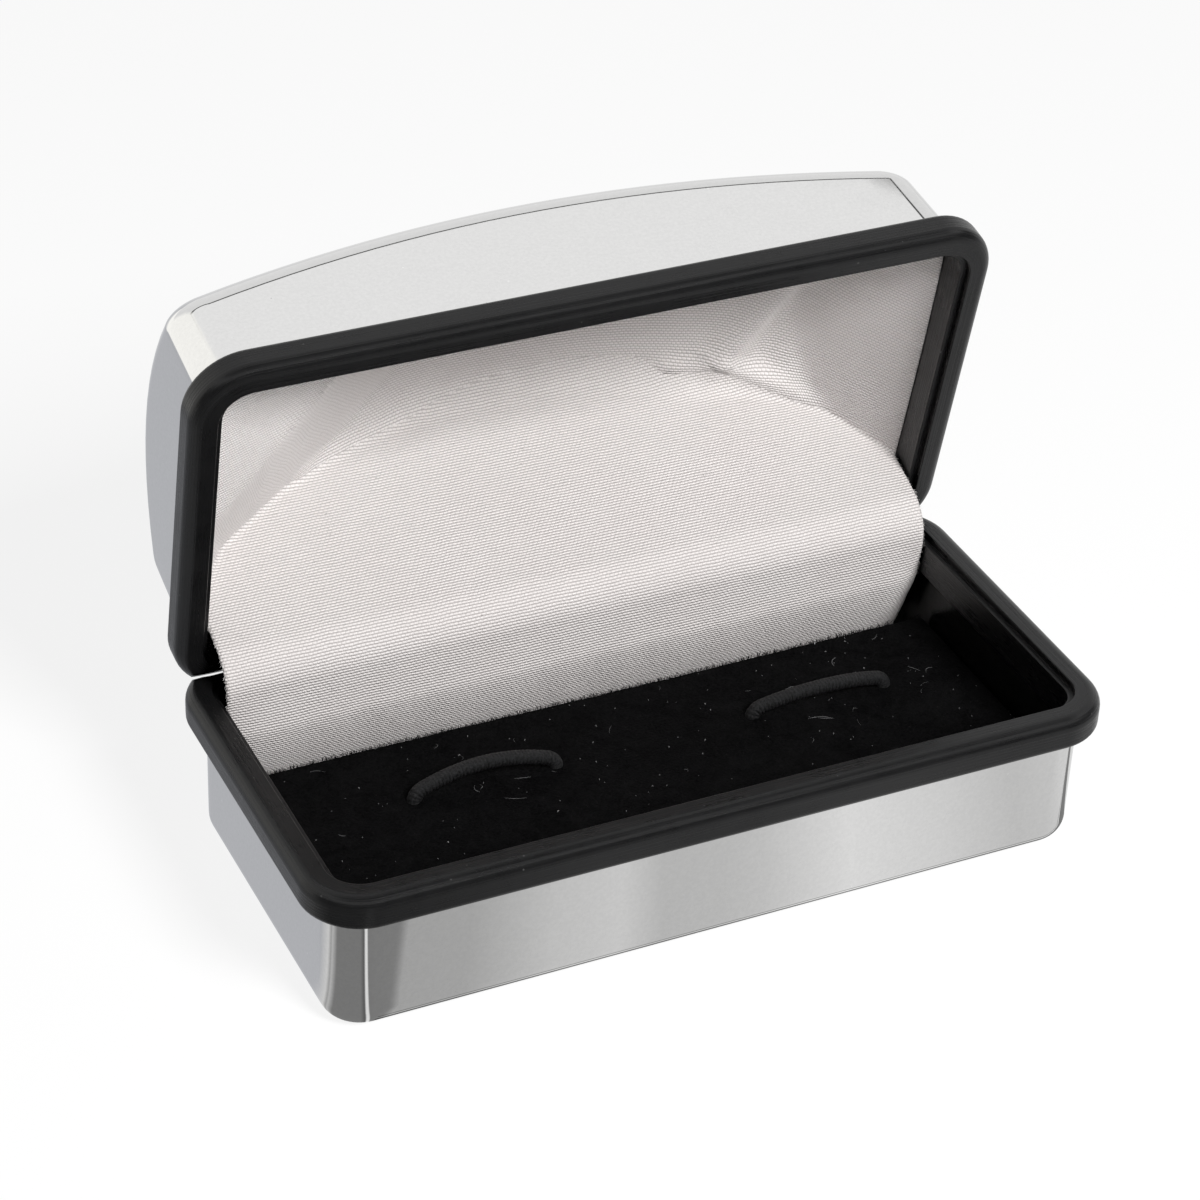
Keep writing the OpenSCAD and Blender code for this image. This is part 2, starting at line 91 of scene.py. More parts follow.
class Nodes:
    """A short way to write a node tree: make a node, set its inputs, wire it."""

    def __init__(self, tree):
        self.tree = tree
        tree.nodes.clear()

    def add(self, kind, inputs=None, **settings):
        node = self.tree.nodes.new(kind)
        for key, value in settings.items():
            setattr(node, key, value)
        for key, value in (inputs or {}).items():
            self.put(node.inputs[key], value)
        return node

    def put(self, socket, value):
        if isinstance(value, bpy.types.NodeSocket):
            self.tree.links.new(value, socket)
        elif isinstance(value, bpy.types.Node):
            self.tree.links.new(value.outputs[0], socket)
        else:
            socket.default_value = value

    def math(self, operation, a, b=0.0, c=0.0):
        return self.add("ShaderNodeMath", {0: a, 1: b, 2: c}, operation=operation).outputs[0]

    def ramp(self, factor, stops, mode="LINEAR"):
        node = self.add("ShaderNodeValToRGB", {"Fac": factor})
        node.color_ramp.interpolation = mode
        elements = node.color_ramp.elements
        while len(elements) < len(stops):
            elements.new(0.5)
        for element, (place, colour) in zip(elements, stops):
            element.position = place
            element.color = (*colour, 1) if hasattr(colour, "__len__") else (colour, colour, colour, 1)
        return node.outputs[0]

    def mix(self, factor, a, b, blend="MIX"):
        node = self.add("ShaderNodeMix", data_type="RGBA", blend_type=blend)
        for socket, value in zip((node.inputs[0], node.inputs[6], node.inputs[7]), (factor, a, b)):
            plain = isinstance(value, tuple) and len(value) == 3
            self.put(socket, (*value, 1) if plain else value)
        return node.outputs[2]

    def surface(self, lumps, strength, depth, inputs):
        """A Principled surface, bumped to a depth in metres and wired to the output."""
        bump = self.add("ShaderNodeBump", {"Height": lumps, "Strength": strength, "Distance": depth})
        shader = self.add("ShaderNodeBsdfPrincipled", {**inputs, "Normal": bump})
        self.add("ShaderNodeOutputMaterial", {"Surface": shader})


# tones of the tent, and where they lie: a height is the sine of an elevation
TENT_TOP, BACKDROP = 1.09, 0.95
TENT_SEAM, SEAM_EDGE = 0.10, 0.015   # the dark seam where the tent meets the backdrop
SEAM_LOW, SEAM_HIGH = 0.59, 0.66
CREAM = (1.27, 1.26, 1.22)           # a warm card at the left, mirrored by the lid's corner
CARD_ACROSS, CARD_HEIGHT = [(0.29, 1.0), (0.37, 0.0)], [(0.0, 1.0), (0.68, 1.0), (0.70, 0.35)]
BEHIND = [(0.0, 0.0), (0.53, 0.0), (0.59, 1.0)]
FRONT_DARK, FRONT_LIGHT, FRONT_TOP = 0.06, 1.6, 0.4   # the room behind the camera and its light
AMBIENT = 0.08                       # what the tent gives to everything that isn't polished

world = bpy.data.worlds.new("studio")
bpy.context.scene.world = world
world.use_nodes = True
n = Nodes(world.node_tree)
direction = n.add("ShaderNodeTexCoord").outputs["Generated"]
axes = n.add("ShaderNodeSeparateXYZ", {0: direction})
height = axes.outputs["Z"]
behind = n.ramp(n.math("MULTIPLY_ADD", axes.outputs["Y"], 0.5, 0.5), BEHIND)
tent = n.ramp(height, [(0.0, BACKDROP), (SEAM_LOW, BACKDROP), (SEAM_LOW + SEAM_EDGE, TENT_SEAM),
                       (SEAM_HIGH - SEAM_EDGE, TENT_SEAM), (SEAM_HIGH, TENT_TOP), (1.0, TENT_TOP)])
at_left = n.ramp(n.math("MULTIPLY_ADD", axes.outputs["X"], 0.5, 0.5), CARD_ACROSS)
tent = n.mix(n.math("MULTIPLY", at_left, n.ramp(height, CARD_HEIGHT)), tent, CREAM)
facing = n.ramp(height, [(0.0, FRONT_DARK), (0.50, FRONT_DARK), (0.58, FRONT_LIGHT), (0.76, FRONT_LIGHT),
                         (0.86, FRONT_DARK), (0.92, FRONT_DARK), (1.0, FRONT_TOP)])
sides = n.mix(behind, facing, tent)
mirrored = n.add("ShaderNodeBackground", {"Color": sides, "Strength": 1.0})
soft = n.add("ShaderNodeBackground", {"Color": (1, 1, 1, 1), "Strength": AMBIENT})
white = n.add("ShaderNodeBackground", {"Color": (1, 1, 1, 1), "Strength": 1.0})
rays = n.add("ShaderNodeLightPath")
lit = n.add("ShaderNodeMixShader", {0: rays.outputs["Is Glossy Ray"], 1: soft, 2: mirrored})
seen = n.add("ShaderNodeMixShader", {0: rays.outputs["Is Camera Ray"], 1: lit, 2: white})
n.add("ShaderNodeOutputWorld", {"Surface": seen})


# each lamp's name, place, side and power; they all look at one point of the box
LAMP_AIM = Vector((0, 0.01, 0.03))
LAMPS = (("overhead", (0.12, -0.49, 0.475), 0.21, 6.5), ("front", (0.06, -0.75, 0.20), 0.30, 0.2))
for name, place, side, watts in LAMPS:
    light = bpy.data.lights.new(name, "AREA")
    light.shape = "RECTANGLE"
    light.size, light.size_y, light.energy = side, side, watts
    lamp = bpy.data.objects.new(name, light)
    bpy.context.collection.objects.link(lamp)
    lamp.location = place
    lamp.rotation_euler = (LAMP_AIM - Vector(place)).to_track_quat("-Z", "Y").to_euler()
    lamp.visible_glossy = False      # the black rims mirror only the tent

# The floor: plain white paper to the camera. Only mirror rays see tones in it: a grey-blue rear, a dark near
# corner and soft bands in front of the box.
floor_mesh = bpy.data.meshes.new("floor")
FLOOR_HALF = 3.0
floor_mesh.from_pydata([(x * FLOOR_HALF, y * FLOOR_HALF, 0) for x, y in ((-1, -1), (1, -1), (1, 1), (-1, 1))],
                       [], [(0, 1, 2, 3)])
floor = bpy.data.objects.new("floor", floor_mesh)
bpy.context.collection.objects.link(floor)
floor_paint = bpy.data.materials.new("floor")
floor_paint.use_nodes = True
n = Nodes(floor_paint.node_tree)
NEAR_CORNER = (-0.0398, -0.01605)   # centre of the box's near corner
FRONT_WALL_Y, FRONT_WALL_START, BAND_SLOPE = -0.02055, -0.0390, 0.503
REAR = (0.555, 0.565, 0.595)
# painted reflections, which only mirror rays see: tones round the near corner by direction, along the front
# wall, and across its foot
CORNER_TONES = [(0.0, 0.85), (0.20, 0.85), (0.26, REAR), (0.39, REAR), (0.470, 0.80), (0.492, 0.45),
                (0.505, 0.62), (0.54, 0.25), (0.695, 0.25), (0.718, 0.12), (0.724, 1.0), (0.736, 1.0),
                (0.742, 0.26), (0.83, 0.28), (0.90, 0.5), (1.0, 0.85)]
FRONT_TONES = [(0.115, 0.28), (0.125, 0.50), (0.20, 0.52), (0.30, 0.74), (0.38, 0.82), (0.43, 0.66),
               (0.50, 0.68), (0.55, 0.74), (0.66, 0.99), (0.77, 0.88), (0.87, 0.72), (1.0, 0.85)]
FOOT_TONES = [(0.19, 0.3), (0.23, 1.25), (0.34, 1.25), (0.40, 0.5), (0.48, 0.5), (0.58, 1.0)]
# where the warm card takes over: far out, to the left and behind
FAR_FROM, FAR_LEFT = [(0.185, 0.0), (0.200, 1.0)], [(0.04, 0.0), (0.11, 1.0)]
FAR_BACK = [(0.0, 0.0), (0.06, 1.0)]
place = n.add("ShaderNodeSeparateXYZ", {0: n.add("ShaderNodeTexCoord").outputs["Object"]})
px, py = place.outputs["X"], place.outputs["Y"]
about = n.math("ARCTAN2", n.math("SUBTRACT", NEAR_CORNER[1], py), n.math("SUBTRACT", NEAR_CORNER[0], px))
turned = n.math("MULTIPLY_ADD", about, 0.5 / math.pi, 0.5)
corner_tone = n.ramp(turned, CORNER_TONES)
wall_x = n.math("MULTIPLY_ADD", n.math("SUBTRACT", py, FRONT_WALL_Y), BAND_SLOPE, px)
front_tone = n.ramp(n.math("MULTIPLY_ADD", wall_x, 10.0, 0.5), FRONT_TONES)
in_front = n.math("MULTIPLY", n.math("LESS_THAN", py, NEAR_CORNER[1]),
                  n.math("GREATER_THAN", wall_x, FRONT_WALL_START))
reach = n.add("ShaderNodeVectorMath", {0: n.add("ShaderNodeTexCoord").outputs["Object"]},
              operation="LENGTH").outputs["Value"]
far = n.math("MULTIPLY", n.ramp(reach, FAR_FROM), n.ramp(n.math("MULTIPLY", px, -1.0), FAR_LEFT))
foot = n.math("MULTIPLY_ADD", n.math("SUBTRACT", FRONT_WALL_Y, py), 500.0, 0.5)   # 2 mm about the wall
# painted shadow and light: the dark bands across the foot stand for the box's shadow beneath it and the
# bright band for light, as the steel's rolled edge mirrors them
foot_tone = n.ramp(foot, FOOT_TONES)
front_tone = n.mix(1.0, front_tone, foot_tone, blend="MULTIPLY")
tone = n.mix(n.math("MULTIPLY", far, n.ramp(py, FAR_BACK)),
             n.mix(in_front, corner_tone, front_tone), CREAM)
rays = n.add("ShaderNodeLightPath")
paper = n.add("ShaderNodeBsdfDiffuse", {"Color": (0.9, 0.9, 0.9, 1)})
glow = n.add("ShaderNodeEmission", {"Color": (1, 1, 1, 1), "Strength": 1.02})
# painted reflections: the floor glows with these tones for mirror rays only
painted_reflection = n.add("ShaderNodeEmission", {"Color": tone, "Strength": 1.0})
lifted = n.add("ShaderNodeMixShader", {0: 0.85, 1: paper, 2: glow})
mirrored = n.add("ShaderNodeMixShader", {0: rays.outputs["Is Glossy Ray"], 1: paper, 2: painted_reflection})
n.add("ShaderNodeOutputMaterial", {"Surface": n.add("ShaderNodeMixShader", {
    0: rays.outputs["Is Camera Ray"], 1: mirrored, 2: lifted})})
floor_mesh.materials.append(floor_paint)

# ---------------------------------------------------------------------------
# Base tray: a pressed sheet-steel tray, plated bright, with a rolled edge
# round its flat underside. Its upper edge stands in a groove of the rim frame.
MM = 0.001
RIM_X, RIM_Y = 46.5, 22.75       # half the size of the rims, in millimetres
RIM_CORNER = 6.7
OVERHANG = 2.2
CORNER_X, CORNER_Y = RIM_X - RIM_CORNER, RIM_Y - RIM_CORNER
STEEL_CORNER = RIM_CORNER - OVERHANG
STEEL_EDGE_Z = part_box("base_shell")[1].z / MM
TRAY_EDGE, SHEET = 2.6, 0.5


def smooth_object(name, vertices, faces, material=None, sharp_angle=35):
    """A shaded mesh in the row frame, from points in millimetres."""
    mesh = bpy.data.meshes.new(name)
    mesh.from_pydata([tuple(float(c) * MM for c in v) for v in vertices], [], faces)
    mesh.validate()
    obj = bpy.data.objects.new(name, mesh)
    bpy.context.collection.objects.link(obj)
    mesh.shade_smooth()
    mesh.set_sharp_from_angle(angle=math.radians(sharp_angle))
    if material:
        mesh.materials.append(material)
    return obj


def outward(obj):
    """Turns every face of a closed mesh to look outwards."""
    shape = bmesh.new()
    shape.from_mesh(obj.data)
    bmesh.ops.remove_doubles(shape, verts=shape.verts, dist=1e-8)
    bmesh.ops.recalc_face_normals(shape, faces=shape.faces)
    shape.to_mesh(obj.data)
    shape.free()
    return obj


def weigh_normals(obj):
    """Large flat faces keep their own normals, so that a mirror finish stays true."""
    weigh = obj.modifiers.new("flat_faces", "WEIGHTED_NORMAL")
    weigh.keep_sharp = True
    weigh.weight = 100
    return obj


def arc(cx, cz, r, start, end, steps):
    """Points of an arc in a section, in degrees."""
    return [(cx + r * math.cos(math.radians(start + (end - start) * k / steps)),
             cz + r * math.sin(math.radians(start + (end - start) * k / steps)))
            for k in range(steps + 1)]


QUARTERS = ((1, 1), (-1, 1), (-1, -1), (1, -1))    # the corners' sides, from the right rear round


def rounded_outline(corners, corner_steps, side_steps):
    """Points round a plan, from the centre and radius of each of its four corners."""
    points = []
    for c, (x, y, r) in enumerate(corners):
        turns = [math.radians(90 * (c + k / corner_steps)) for k in range(corner_steps + 1)]
        points += [(x + r * math.cos(a), y + r * math.sin(a)) for a in turns]
        nx, ny, nr = corners[(c + 1) % 4]
        start, steps = points[-1], side_steps[c % 2]
        end = (nx + nr * math.cos(turns[-1]), ny + nr * math.sin(turns[-1]))
        points += [tuple(p + (q - p) * k / steps for p, q in zip(start, end)) for k in range(1, steps)]
    return points


def swept(section, closed=True):
    """Points and faces of a section (distance out from the corner centres, height)
    carried round the rims' plan, with the number of stations and of section points."""
    centres = rounded_outline([(sx * CORNER_X, sy * CORNER_Y, 0) for sx, sy in QUARTERS], 14, (10, 5))
    outs = rounded_outline([(0, 0, 1)] * 4, 14, (10, 5))
    points, faces = [], []
    rows, columns = len(centres), len(section)
    for (px, py), (dx, dy) in zip(centres, outs):
        points += [(px + dx * d, py + dy * d, z) for d, z in section]
    for i in range(rows):
        for j in range(columns if closed else columns - 1):
            here, there = i * columns, ((i + 1) % rows) * columns
            after = (j + 1) % columns
            faces.append((here + j, there + j, there + after, here + after))
    return points, faces, rows, columns


def effect_group(name, inputs, outputs):
    """An empty shader group with named sockets, and the helper that fills it."""
    tree = bpy.data.node_groups.new(name, "ShaderNodeTree")
    for label, kind, default in inputs:
        tree.interface.new_socket(label, in_out="INPUT", socket_type=kind).default_value = default
    for label, kind in outputs:
        tree.interface.new_socket(label, in_out="OUTPUT", socket_type=kind)
    return tree, Nodes(tree)


def millimetres(n):
    """Object coordinates in millimetres."""
    place = n.add("ShaderNodeTexCoord").outputs["Object"]
    return n.add("ShaderNodeVectorMath", {0: place, 1: (1000, 1000, 1000)}, operation="MULTIPLY")


# Grain: uneven tone from fine to coarse, sized in lumps to the millimetre and
# stretched where the real grain runs one way. Nearly every finish here has some.
grain_effect, n = effect_group(
    "grain", [("Lumps per mm", "NodeSocketFloat", 1.0), ("Stretch", "NodeSocketVector", (1, 1, 1)),
              ("Detail", "NodeSocketFloat", 3.0), ("Swirl", "NodeSocketFloat", 0.0)],
    [("Value", "NodeSocketFloat")])
ins = n.add("NodeGroupInput")
in_mm = millimetres(n)
pulled = n.add("ShaderNodeVectorMath", {0: in_mm, 1: ins.outputs["Stretch"]}, operation="MULTIPLY")
n.add("NodeGroupOutput", {"Value": n.add("ShaderNodeTexNoise", {
    "Vector": pulled, "Scale": ins.outputs["Lumps per mm"], "Detail": ins.outputs["Detail"],
    "Distortion": ins.outputs["Swirl"]})})

# Dust: a few pale motes that lie on the steel and the mouldings.
dust_effect, n = effect_group(
    "dust", [("Motes per mm", "NodeSocketFloat", 0.5), ("Mote size", "NodeSocketFloat", 0.05)],
    [("Mask", "NodeSocketFloat")])
ins = n.add("NodeGroupInput")
in_mm = millimetres(n)
motes = n.add("ShaderNodeTexVoronoi", {"Vector": in_mm, "Scale": ins.outputs["Motes per mm"]})
n.add("NodeGroupOutput", {"Mask": n.math("LESS_THAN", motes.outputs["Distance"], ins.outputs["Mote size"])})


def grain(n, lumps, stretch=(1, 1, 1), detail=3.0, swirl=0.0):
    """The grain effect placed in a material."""
    node = n.add("ShaderNodeGroup", node_tree=grain_effect)
    for label, value in (("Lumps per mm", lumps), ("Stretch", stretch), ("Detail", detail), ("Swirl", swirl)):
        n.put(node.inputs[label], value)
    return node.outputs["Value"]


def dust(n, motes_per_mm, size):
    """The dust effect placed in a material."""
    node = n.add("ShaderNodeGroup", node_tree=dust_effect)
    n.put(node.inputs["Motes per mm"], motes_per_mm)
    n.put(node.inputs["Mote size"], size)
    return node.outputs["Mask"]


def new_material(name):
    """An empty material and the helper that fills its tree."""
    material = bpy.data.materials.new(name)
    material.use_nodes = True
    return material, Nodes(material.node_tree)


def mirror_steel(name):
    """Bright plate on pressed steel: near-mirror, with wipe marks, waves and hair scratches."""
    material, n = new_material(name)
    place = n.add("ShaderNodeMapping", {"Vector": n.add("ShaderNodeTexCoord").outputs["Object"],
                                        "Scale": (1000, 1000, 1000)})
    smear = grain(n, 0.16, detail=4.0, swirl=1.2)
    grit = grain(n, 2.6, detail=6.0)
    wave = grain(n, 0.05, detail=1.0)
    rough = n.math("MULTIPLY_ADD", n.ramp(smear, [(0.45, 0.0), (0.75, 1.0)]), 0.05, 0.045)
    tone = n.mix(n.ramp(grit, [(0.35, 0.0), (0.7, 1.0)]), (0.668, 0.666, 0.662), (0.705, 0.703, 0.698))
    lumps = n.math("ADD", n.math("MULTIPLY", wave, 1.0), n.math("MULTIPLY", grit, 0.01))
    bent = n.add("ShaderNodeTexNoise", {"Vector": place, "Scale": 0.5, "Detail": 1.0})
    strokes = n.add("ShaderNodeMapping", {"Vector": n.mix(0.35, place.outputs[0], bent.outputs["Color"]),
                                          "Scale": (0.75, 0.75, 0.16), "Rotation": (0.3, 0.5, 0.6)})
    hairs = n.add("ShaderNodeTexVoronoi", {"Vector": strokes, "Scale": 0.9}, feature="F1")
    rare = n.ramp(n.add("ShaderNodeSeparateColor", {0: hairs.outputs["Color"]}).outputs[0],
                  [(0.86, 0.0), (0.88, 1.0)])
    scratch = n.math("MULTIPLY", rare, n.ramp(hairs.outputs["Distance"], [(0.03, 1.0), (0.05, 0.0)]))
    tone = n.mix(n.math("MULTIPLY", scratch, 0.45), tone, (0.30, 0.30, 0.30))
    tone = n.mix(n.math("MULTIPLY", dust(n, 0.22, 0.03), 0.5), tone, (0.85, 0.85, 0.84))
    n.surface(lumps, 0.15, 0.0004, {"Base Color": tone, "Metallic": 1.0, "Roughness": rough})
    return material


def lacquer(name):
    """Black lacquer inside the tray, run on thin, so a little uneven."""
    material, n = new_material(name)
    runs = grain(n, 0.3)
    n.surface(runs, 0.3, 0.0002, {
        "Base Color": n.mix(runs, (0.004, 0.004, 0.004), (0.010, 0.010, 0.010)),
        "Roughness": n.math("MULTIPLY_ADD", runs, 0.15, 0.12), "Specular IOR Level": 0.2})
    return material


bright_plate = mirror_steel("bright_plate")
tray_out, tray_in = STEEL_CORNER, STEEL_CORNER - SHEET
section = ([(0.0, 0.0)] + arc(tray_out - TRAY_EDGE, TRAY_EDGE, TRAY_EDGE, -90, 0, 12)
           + [(tray_out, STEEL_EDGE_Z - 0.1), (tray_out - 0.1, STEEL_EDGE_Z),
              (tray_in + 0.1, STEEL_EDGE_Z), (tray_in, STEEL_EDGE_Z - 0.1)]
           + arc(tray_out - TRAY_EDGE, TRAY_EDGE, TRAY_EDGE - SHEET, 0, -90, 8) + [(0.0, SHEET)])
points, faces, rows, columns = swept(section, closed=False)
faces.append([i * columns for i in range(rows)][::-1])
faces.append([i * columns + columns - 1 for i in range(rows)])
tray = outward(smooth_object("tray", points, faces, bright_plate))
tray.data.materials.append(lacquer("black_lacquer"))
for face in tray.data.polygons:
    inward = face.normal.x * face.center.x + face.normal.y * face.center.y < -1e-4
    face.material_index = int(inward or (face.normal.z > 0.5 and face.center.z < 0.004))
weigh_normals(tray)
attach(tray, "base")
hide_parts("base_shell")

# ---------------------------------------------------------------------------
# Base rim frame: a black moulding of bead, flat land, small step and skirt. It
# is slipped over the tray's edge, and its rear rail is bevelled as the lid's stop.
RIM_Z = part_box("base_frame")[1].z / MM
AXIS_Y = RIM_Y - 3.0
RIM_GAP = 0.3
AXIS_Z = RIM_Z + RIM_GAP / 2
OPEN_ANGLE = 78.5
BEVEL = math.tan(math.radians(OPEN_ANGLE / 2))
BARREL_R, BARREL_HALF = 1.55, 25.35


def filleted(corners, steps=5):
    """A closed section with each corner (x, z, radius) rounded."""
    out = []
    for k, (x, z, r) in enumerate(corners):
        here = Vector((x, z))
        before = (Vector(corners[k - 1][:2]) - here).normalized()
        after = (Vector(corners[(k + 1) % len(corners)][:2]) - here).normalized()
        if r == 0:
            out.append((x, z))
            continue
        half = before.angle(after) / 2
        centre = here + (before + after).normalized() * (r / math.sin(half))
        a, b = here + before * (r / math.tan(half)), here + after * (r / math.tan(half))
        start = math.atan2(a.y - centre.y, a.x - centre.x)
        sweep = math.atan2(b.y - centre.y, b.x - centre.x) - start
        sweep = (sweep + math.pi) % (2 * math.pi) - math.pi
        count = max(steps, int(steps * r / 0.4))
        out += [(centre.x + r * math.cos(start + sweep * j / count),
                 centre.y + r * math.sin(start + sweep * j / count)) for j in range(count + 1)]
    return out


RIM_SECTION = [(3.60, -0.80, 0.08), (2.90, -0.80, 0.05), (2.90, 0.0, 0.12), (0.0, 0.0, 1.45),
               (0.0, -3.90, 0.80), (2.12, -3.90, 0.05), (2.12, -1.92, 0), (2.78, -1.92, 0),
               (2.78, -4.90, 0), (3.60, -4.90, 0.15)]


def moulded_black(name):
    """Semi-gloss black moulding with fine drag lines along it and a little dust."""
    material, n = new_material(name)
    along = n.add("ShaderNodeMapping", {"Vector": n.add("ShaderNodeUVMap", uv_map="along"),
                                        "Scale": (0.05, 5.0, 1.0)})
    drag = n.add("ShaderNodeTexNoise", {"Vector": along, "Scale": 1.0, "Detail": 5.0})
    cloud = grain(n, 0.35)
    mote = dust(n, 0.45, 0.045)
    fine = grain(n, 9.0, detail=2.0)
    rough = n.math("ADD", n.math("MULTIPLY_ADD", drag, 0.16, 0.16), n.math("MULTIPLY", cloud, 0.10))
    tone = n.mix(mote, n.mix(cloud, (0.004, 0.004, 0.0042), (0.008, 0.008, 0.0083)), (0.05, 0.05, 0.05))
    lumps = n.math("ADD", n.math("MULTIPLY", drag, 0.8), n.math("MULTIPLY", fine, 0.2))
    n.surface(lumps, 0.6, 0.00008, {"Base Color": tone, "Roughness": rough, "Specular IOR Level": 0.26})
    return material


def label_along(obj, rows, columns, closed_faces):
    """UV map in millimetres: round the rim, and along the section."""
    layer = obj.data.uv_layers.new(name="along")
    mesh = obj.data
    co = np.array([v.co for v in mesh.vertices]) / MM
    grid = co[:rows * columns].reshape(rows, columns, 3)
    round_step = np.linalg.norm(np.roll(grid[:, 0], -1, axis=0) - grid[:, 0], axis=1)
    run = np.concatenate([[0], np.cumsum(round_step)])
    side_step = np.linalg.norm(np.roll(grid[0], -1, axis=0) - grid[0], axis=1)
    depth = np.concatenate([[0], np.cumsum(side_step)])
    for polygon in mesh.polygons[:closed_faces]:
        cells = [divmod(v, columns) for v in polygon.vertices]
        wraps_u = max(c[0] for c in cells) == rows - 1 and min(c[0] for c in cells) == 0
        wraps_v = max(c[1] for c in cells) == columns - 1 and min(c[1] for c in cells) == 0
        for loop, (i, j) in zip(polygon.loop_indices, cells):
            u = run[rows] if wraps_u and i == 0 else run[i]
            v = depth[columns] if wraps_v and j == 0 else depth[j]
            layer.data[loop].uv = (u, v)


def rim_frame(name, material, side):
    """A rim frame with its mating face at z = 0; side is 1 below it, -1 above it."""
    section = [(RIM_CORNER - inset, z) for inset, z in filleted(RIM_SECTION)]
    points, faces, rows, columns = swept(section)
    lift = RIM_GAP / 2
    start = AXIS_Y - lift * math.tan(math.radians(OPEN_ANGLE / 4))
    cut = [(x, y, min(z, (start - y) * BEVEL) if y > start else z) for x, y, z in points]
    frame_obj = smooth_object(name, cut, faces, material, 40)
    label_along(frame_obj, rows, columns, len(faces))
    barrel = cylinder_along_x(BARREL_R, BARREL_HALF, AXIS_Y, lift)
    carve(frame_obj, barrel)
    if side < 0:
        frame_obj.data.transform(Matrix.Diagonal((1, 1, -1, 1)))
        frame_obj.data.flip_normals()
    return frame_obj


def ring_faces(rings, around, first=0):
    """Faces that join each closed ring of points to the next."""
    return [(a + i, a + (i + 1) % around, a + around + (i + 1) % around, a + around + i)
            for a in range(first, first + (rings - 1) * around, around) for i in range(around)]


def fan_faces(first, around, peak):
    """Faces from a ring of points to the one point that closes it."""
    return [(first + i, first + (i + 1) % around, peak) for i in range(around)]


def tube_faces(rings, sides):
    """Faces of a tube with a cap on each end."""
    last = (rings - 1) * sides
    return ring_faces(rings, sides) + [tuple(range(sides))[::-1], tuple(range(last, last + sides))]


def cylinder_along_x(r, half, y, z, sides=40):
    """A closed cylinder along X, to cut with."""
    points = [(x, y + r * math.cos(2 * math.pi * k / sides), z + r * math.sin(2 * math.pi * k / sides))
              for x in (-half, half) for k in range(sides)]
    return outward(smooth_object("cutter", points, tube_faces(2, sides)))


def carve(obj, cutter):
    """Cuts one closed mesh out of another and drops the cutter."""
    cut = obj.modifiers.new("cut", "BOOLEAN")
    cut.operation, cut.solver, cut.object = "DIFFERENCE", "EXACT", cutter
    bake_modifiers(obj)
    bpy.data.objects.remove(cutter)


def bake_modifiers(obj):
    """The evaluated shape becomes the object's own mesh."""
    evaluated = obj.evaluated_get(bpy.context.evaluated_depsgraph_get())
    mesh = bpy.data.meshes.new_from_object(evaluated)
    obj.modifiers.clear()
    old = obj.data
    obj.data = mesh
    bpy.data.meshes.remove(old)


black_moulding = moulded_black("black_moulding")
base_rim = rim_frame("base_rim", black_moulding, 1)
base_rim.data.transform(Matrix.Translation((0, 0, RIM_Z * MM)))
weigh_normals(base_rim)
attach(base_rim, "base")
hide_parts("base_frame")

# ---------------------------------------------------------------------------
# Lid rim frame: the same moulding as the base's, turned over. It is drawn on
# the shut lid and then turned back to the open stop about the hinge axis.
LID_RIM_Z = RIM_Z + RIM_GAP
open_lid = (Matrix.Translation((0, AXIS_Y * MM, AXIS_Z * MM))
            @ Matrix.Rotation(math.radians(-OPEN_ANGLE), 4, "X")
            @ Matrix.Translation((0, -AXIS_Y * MM, (LID_RIM_Z - AXIS_Z) * MM)))

lid_rim = rim_frame("lid_rim", black_moulding, -1)
lid_rim.data.transform(open_lid)
weigh_normals(lid_rim)
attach(lid_rim, "lid")
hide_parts("lid_frame")

# ---------------------------------------------------------------------------
# Lid: one pressed sheet with slightly drawn-in walls, a rolled edge and a crown
# that falls away to both ends and to the front and rear, plated bright.
DOME_H, ARCH_DROP, CROWN_DROP = 27.8, 6.2, 6.8
DOME_EDGE, WALL_DRAW = 2.7, 0.4
STEEL_X, STEEL_Y = RIM_X - OVERHANG, RIM_Y - OVERHANG
SKIRT_DEPTH, STEEL_EDGE_DEPTH = 4.9, 2.0


def crown(x, y):
    return DOME_H - ARCH_DROP * (x / STEEL_X) ** 2 - CROWN_DROP * (y / STEEL_Y) ** 2


def plan(inset):
    """Points round the steel's plan outline, drawn in by an inset."""
    r = max(STEEL_CORNER - inset, 0.3)
    cx, cy = STEEL_X - inset - r, STEEL_Y - inset - r
    return rounded_outline([(sx * cx, sy * cy, r) for sx, sy in QUARTERS], 14, (24, 12))


def dome_skin(depth, floor_z, edge_steps=12, crown_steps=16):
    """Rings of points from the lower edge of the dome up to its crown."""
    r = max(DOME_EDGE - depth, 0.3)
    rings = [[(x, y, z) for x, y in plan(depth)] for z in (floor_z, SKIRT_DEPTH)]
    for k in range(edge_steps + 1):
        a = math.pi / 2 * k / edge_steps
        rings.append([(x, y, crown(x, y) - depth - r * (1 - math.sin(a)))
                      for x, y in plan(depth + WALL_DRAW + r * (1 - math.cos(a)))])
    top = plan(depth + WALL_DRAW + r)
    for k in range(1, crown_steps):
        s = 1 - k / crown_steps
        rings.append([(x * s, y * s, crown(x * s, y * s) - depth) for x, y in top])
    return rings


def dome_shell(name, depths, floor_z, material):
    """A closed shell of the dome between two depths below the steel's outside."""
    points, faces = [], []
    around = len(plan(0))
    for side, depth in enumerate(depths):
        rings = dome_skin(depth, floor_z)
        first = len(points)
        points += [p for ring in rings for p in ring] + [(0, 0, DOME_H - depth)]
        peak = len(points) - 1
        faces += ring_faces(len(rings), around, first)
        faces += fan_faces(first + (len(rings) - 1) * around, around, peak)
        if side == 0:
            inner_first = len(points)
    faces += [(i, (i + 1) % around, inner_first + (i + 1) % around, inner_first + i) for i in range(around)]
    return outward(smooth_object(name, points, faces, material))


